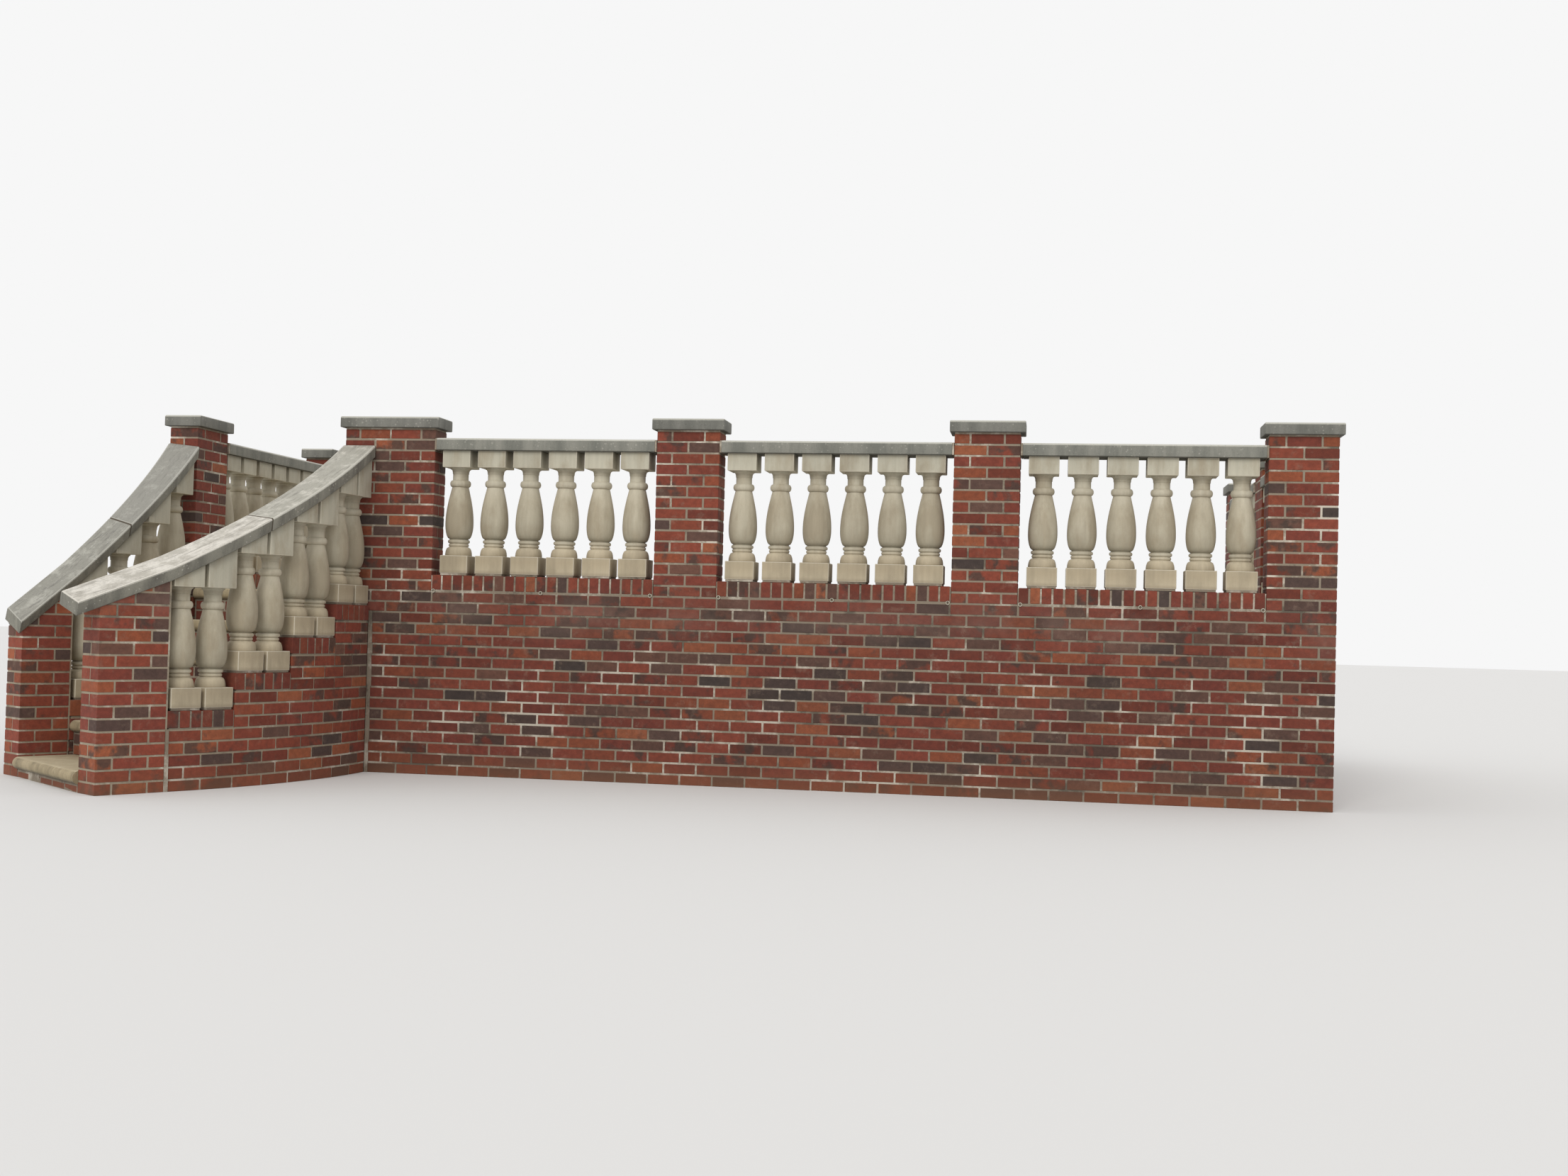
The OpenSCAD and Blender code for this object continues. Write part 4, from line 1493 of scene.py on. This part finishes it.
    def wide_joints(self, lap: float = 1 * MM, behind: float = 14 * MM) -> None:
        """Point the wide upright joints of the near cheek, at the terrace wall and its newel.

        Args:
            lap: How far the corner's mortar reaches into the walls.
            behind: How far the newel's mortar reaches back between the bricks.
        """
        curve, bm, rng = self.curve, bmesh.new(), random.Random(440)
        outer = curve.near_r + curve.thickness
        for i in range(self.corner_courses):
            proud = self.corner_proud + rng.uniform(0, self.smeared)
            wide = self.corner_joint + rng.uniform(-self.ragged, self.ragged)
            lo = Vector((outer - lap, lap - proud, i * COURSE))
            block(bm, lo, Vector((lo.x + wide, lap, (i + 1) * COURSE)), curve.frame(0))
        for i in range(self.newel_courses):
            proud = self.newel_proud + rng.uniform(0, self.smeared)
            wide = self.newel_joint + rng.uniform(-self.ragged, self.ragged)
            lo = Vector((outer - behind, -wide / 2, i * COURSE))
            block(bm, lo, Vector((outer + proud, wide / 2, (i + 1) * COURSE)), curve.frame(curve.end))
        piece(bm, "wide_joint_mortar", [MORTAR], Slot.BRICK)

    def handrails(self) -> None:
        """Dress the handrails and point the joints between and behind them."""
        pointing = bmesh.new()
        for side in ("near", "far"):
            ends = {}
            for part in ("upper", "lower"):
                node = f"{side}_handrail_{part}"
                (solid,) = solids(node)
                bm = dressed(node, self.rail_arris, 4)
                grained(bm, self.curve.unrolled)
                piece(bm, node + "_stone", [RAILS[side, part]], Slot.HANDRAIL, (node,), self.smooth)
                angle = {p.freeze(): self.curve.angle_of(p) for p in solid.points}
                for name, end in (("top", min(angle.values())), ("bottom", max(angle.values()))):
                    ends[part, name] = [p for p, a in angle.items() if abs(a - end) < 0.15]
            upper, lower = ends["upper", "bottom"], ends["lower", "top"]
            gap = sum(lower, Vector()) / len(lower) - sum(upper, Vector()) / len(upper)
            joint(pointing, upper, gap)
            joint(pointing, ends["upper", "top"], Vector((0, self.head_joint, 0)))
        piece(pointing, "handrail_pointing", [STAINED], Slot.HANDRAIL)

    def build(self) -> None:
        """Build the whole stair."""
        near, far = self.curve.near_r, self.curve.far_r - self.curve.thickness
        self.cheek("near_cheek", near, 4, 400)
        self.cheek("far_cheek", far, 2, 401)
        self.step_sills("near_step_sills", near, 6, 402)
        self.step_sills("far_step_sills", far, 3, 403)
        self.newel("near_newel", near, 404)
        self.newel("far_newel", far, 405)
        self.risers()
        self.foot()
        self.wide_joints()
        stones = dressed("treads", self.tread_arris)
        piece(stones, "tread_stones", [TREAD], Slot.TREAD, ("treads",), self.smooth)
        self.handrails()


@dataclass
class Terrace:
    """The paved floor, and the small tubes that drain it through the wall.

    Attributes:
        flag: Length and width that the flags come near to.
        joint: Width of the joints between flags, and how far the bed stands below.
        flag_t: Thickness of a flag.
        uneven: Most that a flag lies below the others.
        arris: Width of the flags' eased arrises.
    """

    flag: tuple[float, float] = (600 * MM, 450 * MM)
    joint: tuple[float, float] = (8 * MM, 4 * MM)
    flag_t: float = 40 * MM
    uneven: float = 1.2 * MM
    arris: float = 3 * MM

    def build(self) -> None:
        """Lay the flags on their bed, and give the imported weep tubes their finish."""
        lo, hi = (Vector(c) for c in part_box("terrace_floor"))
        flags, bed, rng = bmesh.new(), bmesh.new(), random.Random(500)
        rows = round((hi.y - lo.y) / self.flag[1])
        count = round((hi.x - lo.x) / self.flag[0])
        half, wide = (hi.x - lo.x) / count / 2, (hi.y - lo.y) / rows
        inset = Vector((self.joint[0] / 2, self.joint[0] / 2, 0))
        for row in range(rows):
            for at, size in bond(2 * count, bool(row % 2)):
                a = Vector((lo.x + at * half, lo.y + row * wide, hi.z - self.flag_t))
                b = Vector((a.x + size * half, a.y + wide, hi.z - rng.uniform(0, self.uneven)))
                block(flags, a + inset, b - inset)
        ease(flags, flags.edges[:], self.arris)
        block(bed, lo, Vector((hi.x, hi.y, hi.z - self.joint[1])))
        piece(flags, "floor_flags", [PAVING], Slot.PAVING, ("terrace_floor",))
        piece(bed, "floor_bed", [MORTAR], Slot.PAVING)
        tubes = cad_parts["weep_tubes"]
        for place in tubes.material_slots:
            place.material = TUBE.make()
        if not tubes.material_slots:
            tubes.data.materials.append(TUBE.make())


@dataclass
class Studio:
    """Floor, soft light and the camera.

    Attributes:
        eye: Place of the camera.
        yaw: Turn of the view to the right of +Y, in radians.
        pitch: Tilt of the view upwards, in radians.
        roll: Turn of the camera about its view, in radians.
        lens: Focal length in millimetres on a sensor 36 mm wide.
        sun: Strength of the key light.
        toward: Direction from the object to the key light.
        spread: Angle in degrees that the key light fills, which softens its shadows.
        fill: Strength of the sky.
        paint: Colour of the floor.
    """

    eye: tuple[float, float, float] = (1.3999, -10.0616, 0.9907)
    yaw: float = -0.1585
    pitch: float = 0.0225
    roll: float = 0.0264
    lens: float = 38.24
    sun: float = 1.15
    toward: tuple[float, float, float] = (-0.12, -0.80, 0.60)
    spread: float = 28
    fill: float = 0.86
    paint: str = "#dcdbd8"

    def camera(self) -> None:
        """Set the camera where the photograph was taken."""
        data = bpy.data.cameras.new("camera")
        data.lens = self.lens
        data.sensor_width = 36
        data.sensor_fit = "HORIZONTAL"
        data.clip_end = 200
        obj = bpy.data.objects.new("camera", data)
        bpy.context.scene.collection.objects.link(obj)
        east, north = math.sin(self.yaw), math.cos(self.yaw)
        flat, rise = math.cos(self.pitch), math.sin(self.pitch)
        ahead = Vector((east * flat, north * flat, rise))
        level = Vector((north, -east, 0))
        turned = Matrix.Rotation(-self.roll, 3, ahead)
        axes = Matrix((turned @ level, turned @ level.cross(ahead), -ahead)).transposed()
        obj.matrix_world = Matrix.Translation(self.eye) @ axes.to_4x4()
        bpy.context.scene.camera = obj

    def floor(self) -> None:
        """Lay a plain pale floor."""
        bm = bmesh.new()
        bmesh.ops.create_grid(bm, x_segments=1, y_segments=1, size=60)
        mesh = bpy.data.meshes.new("studio_floor")
        bm.to_mesh(mesh)
        bm.free()
        material = bpy.data.materials.new("pale_floor_paint")
        material.use_nodes = True
        shader = material.node_tree.nodes["Principled BSDF"]
        shader.inputs["Base Color"].default_value = linear(self.paint)
        shader.inputs["Roughness"].default_value = 0.9
        mesh.materials.append(material)
        obj = bpy.data.objects.new("studio_floor", mesh)
        bpy.context.scene.collection.objects.link(obj)

    def light(self) -> None:
        """Light the scene with a soft key and an even sky."""
        data = bpy.data.lights.new("key", "SUN")
        data.energy = self.sun
        data.angle = math.radians(self.spread)
        data.color = (1.0, 0.985, 0.96)
        key = bpy.data.objects.new("key", data)
        key.rotation_euler = Vector(self.toward).to_track_quat("Z", "Y").to_euler()
        bpy.context.scene.collection.objects.link(key)
        world = bpy.data.worlds.new("soft_sky")
        bpy.context.scene.world = world
        world.use_nodes = True
        tree = world.node_tree
        ray = add(tree, "LightPath").node.outputs
        seen = add(tree, "Math", (ray["Is Camera Ray"], ray["Is Glossy Ray"]), operation="MAXIMUM")
        clear = add(tree, "Math", (seen, ray["Is Transmission Ray"]), operation="MAXIMUM")
        sky = (self.fill, self.fill, self.fill * 1.02, 1)
        tone = add(tree, "Mix", {0: clear, 6: sky, 7: (0.93, 0.93, 0.93, 1)}, **COLOURS)
        tree.links.new(tone, tree.nodes["Background"].inputs[0])
        bpy.context.scene.view_settings.view_transform = "Standard"

    def build(self) -> None:
        """Set up the whole studio."""
        self.camera()
        self.floor()
        self.light()


def main() -> None:
    """Build every sub-assembly in order."""
    logging.basicConfig(level=logging.INFO, format="%(message)s")
    stair = CurvedStair()
    Brickwork().build()
    Coping().build()
    Balusters().build(stair.curve)
    stair.build()
    Terrace().build()
    Studio().build()
    bpy.context.view_layer.update()


if __name__ == "__main__":
    main()
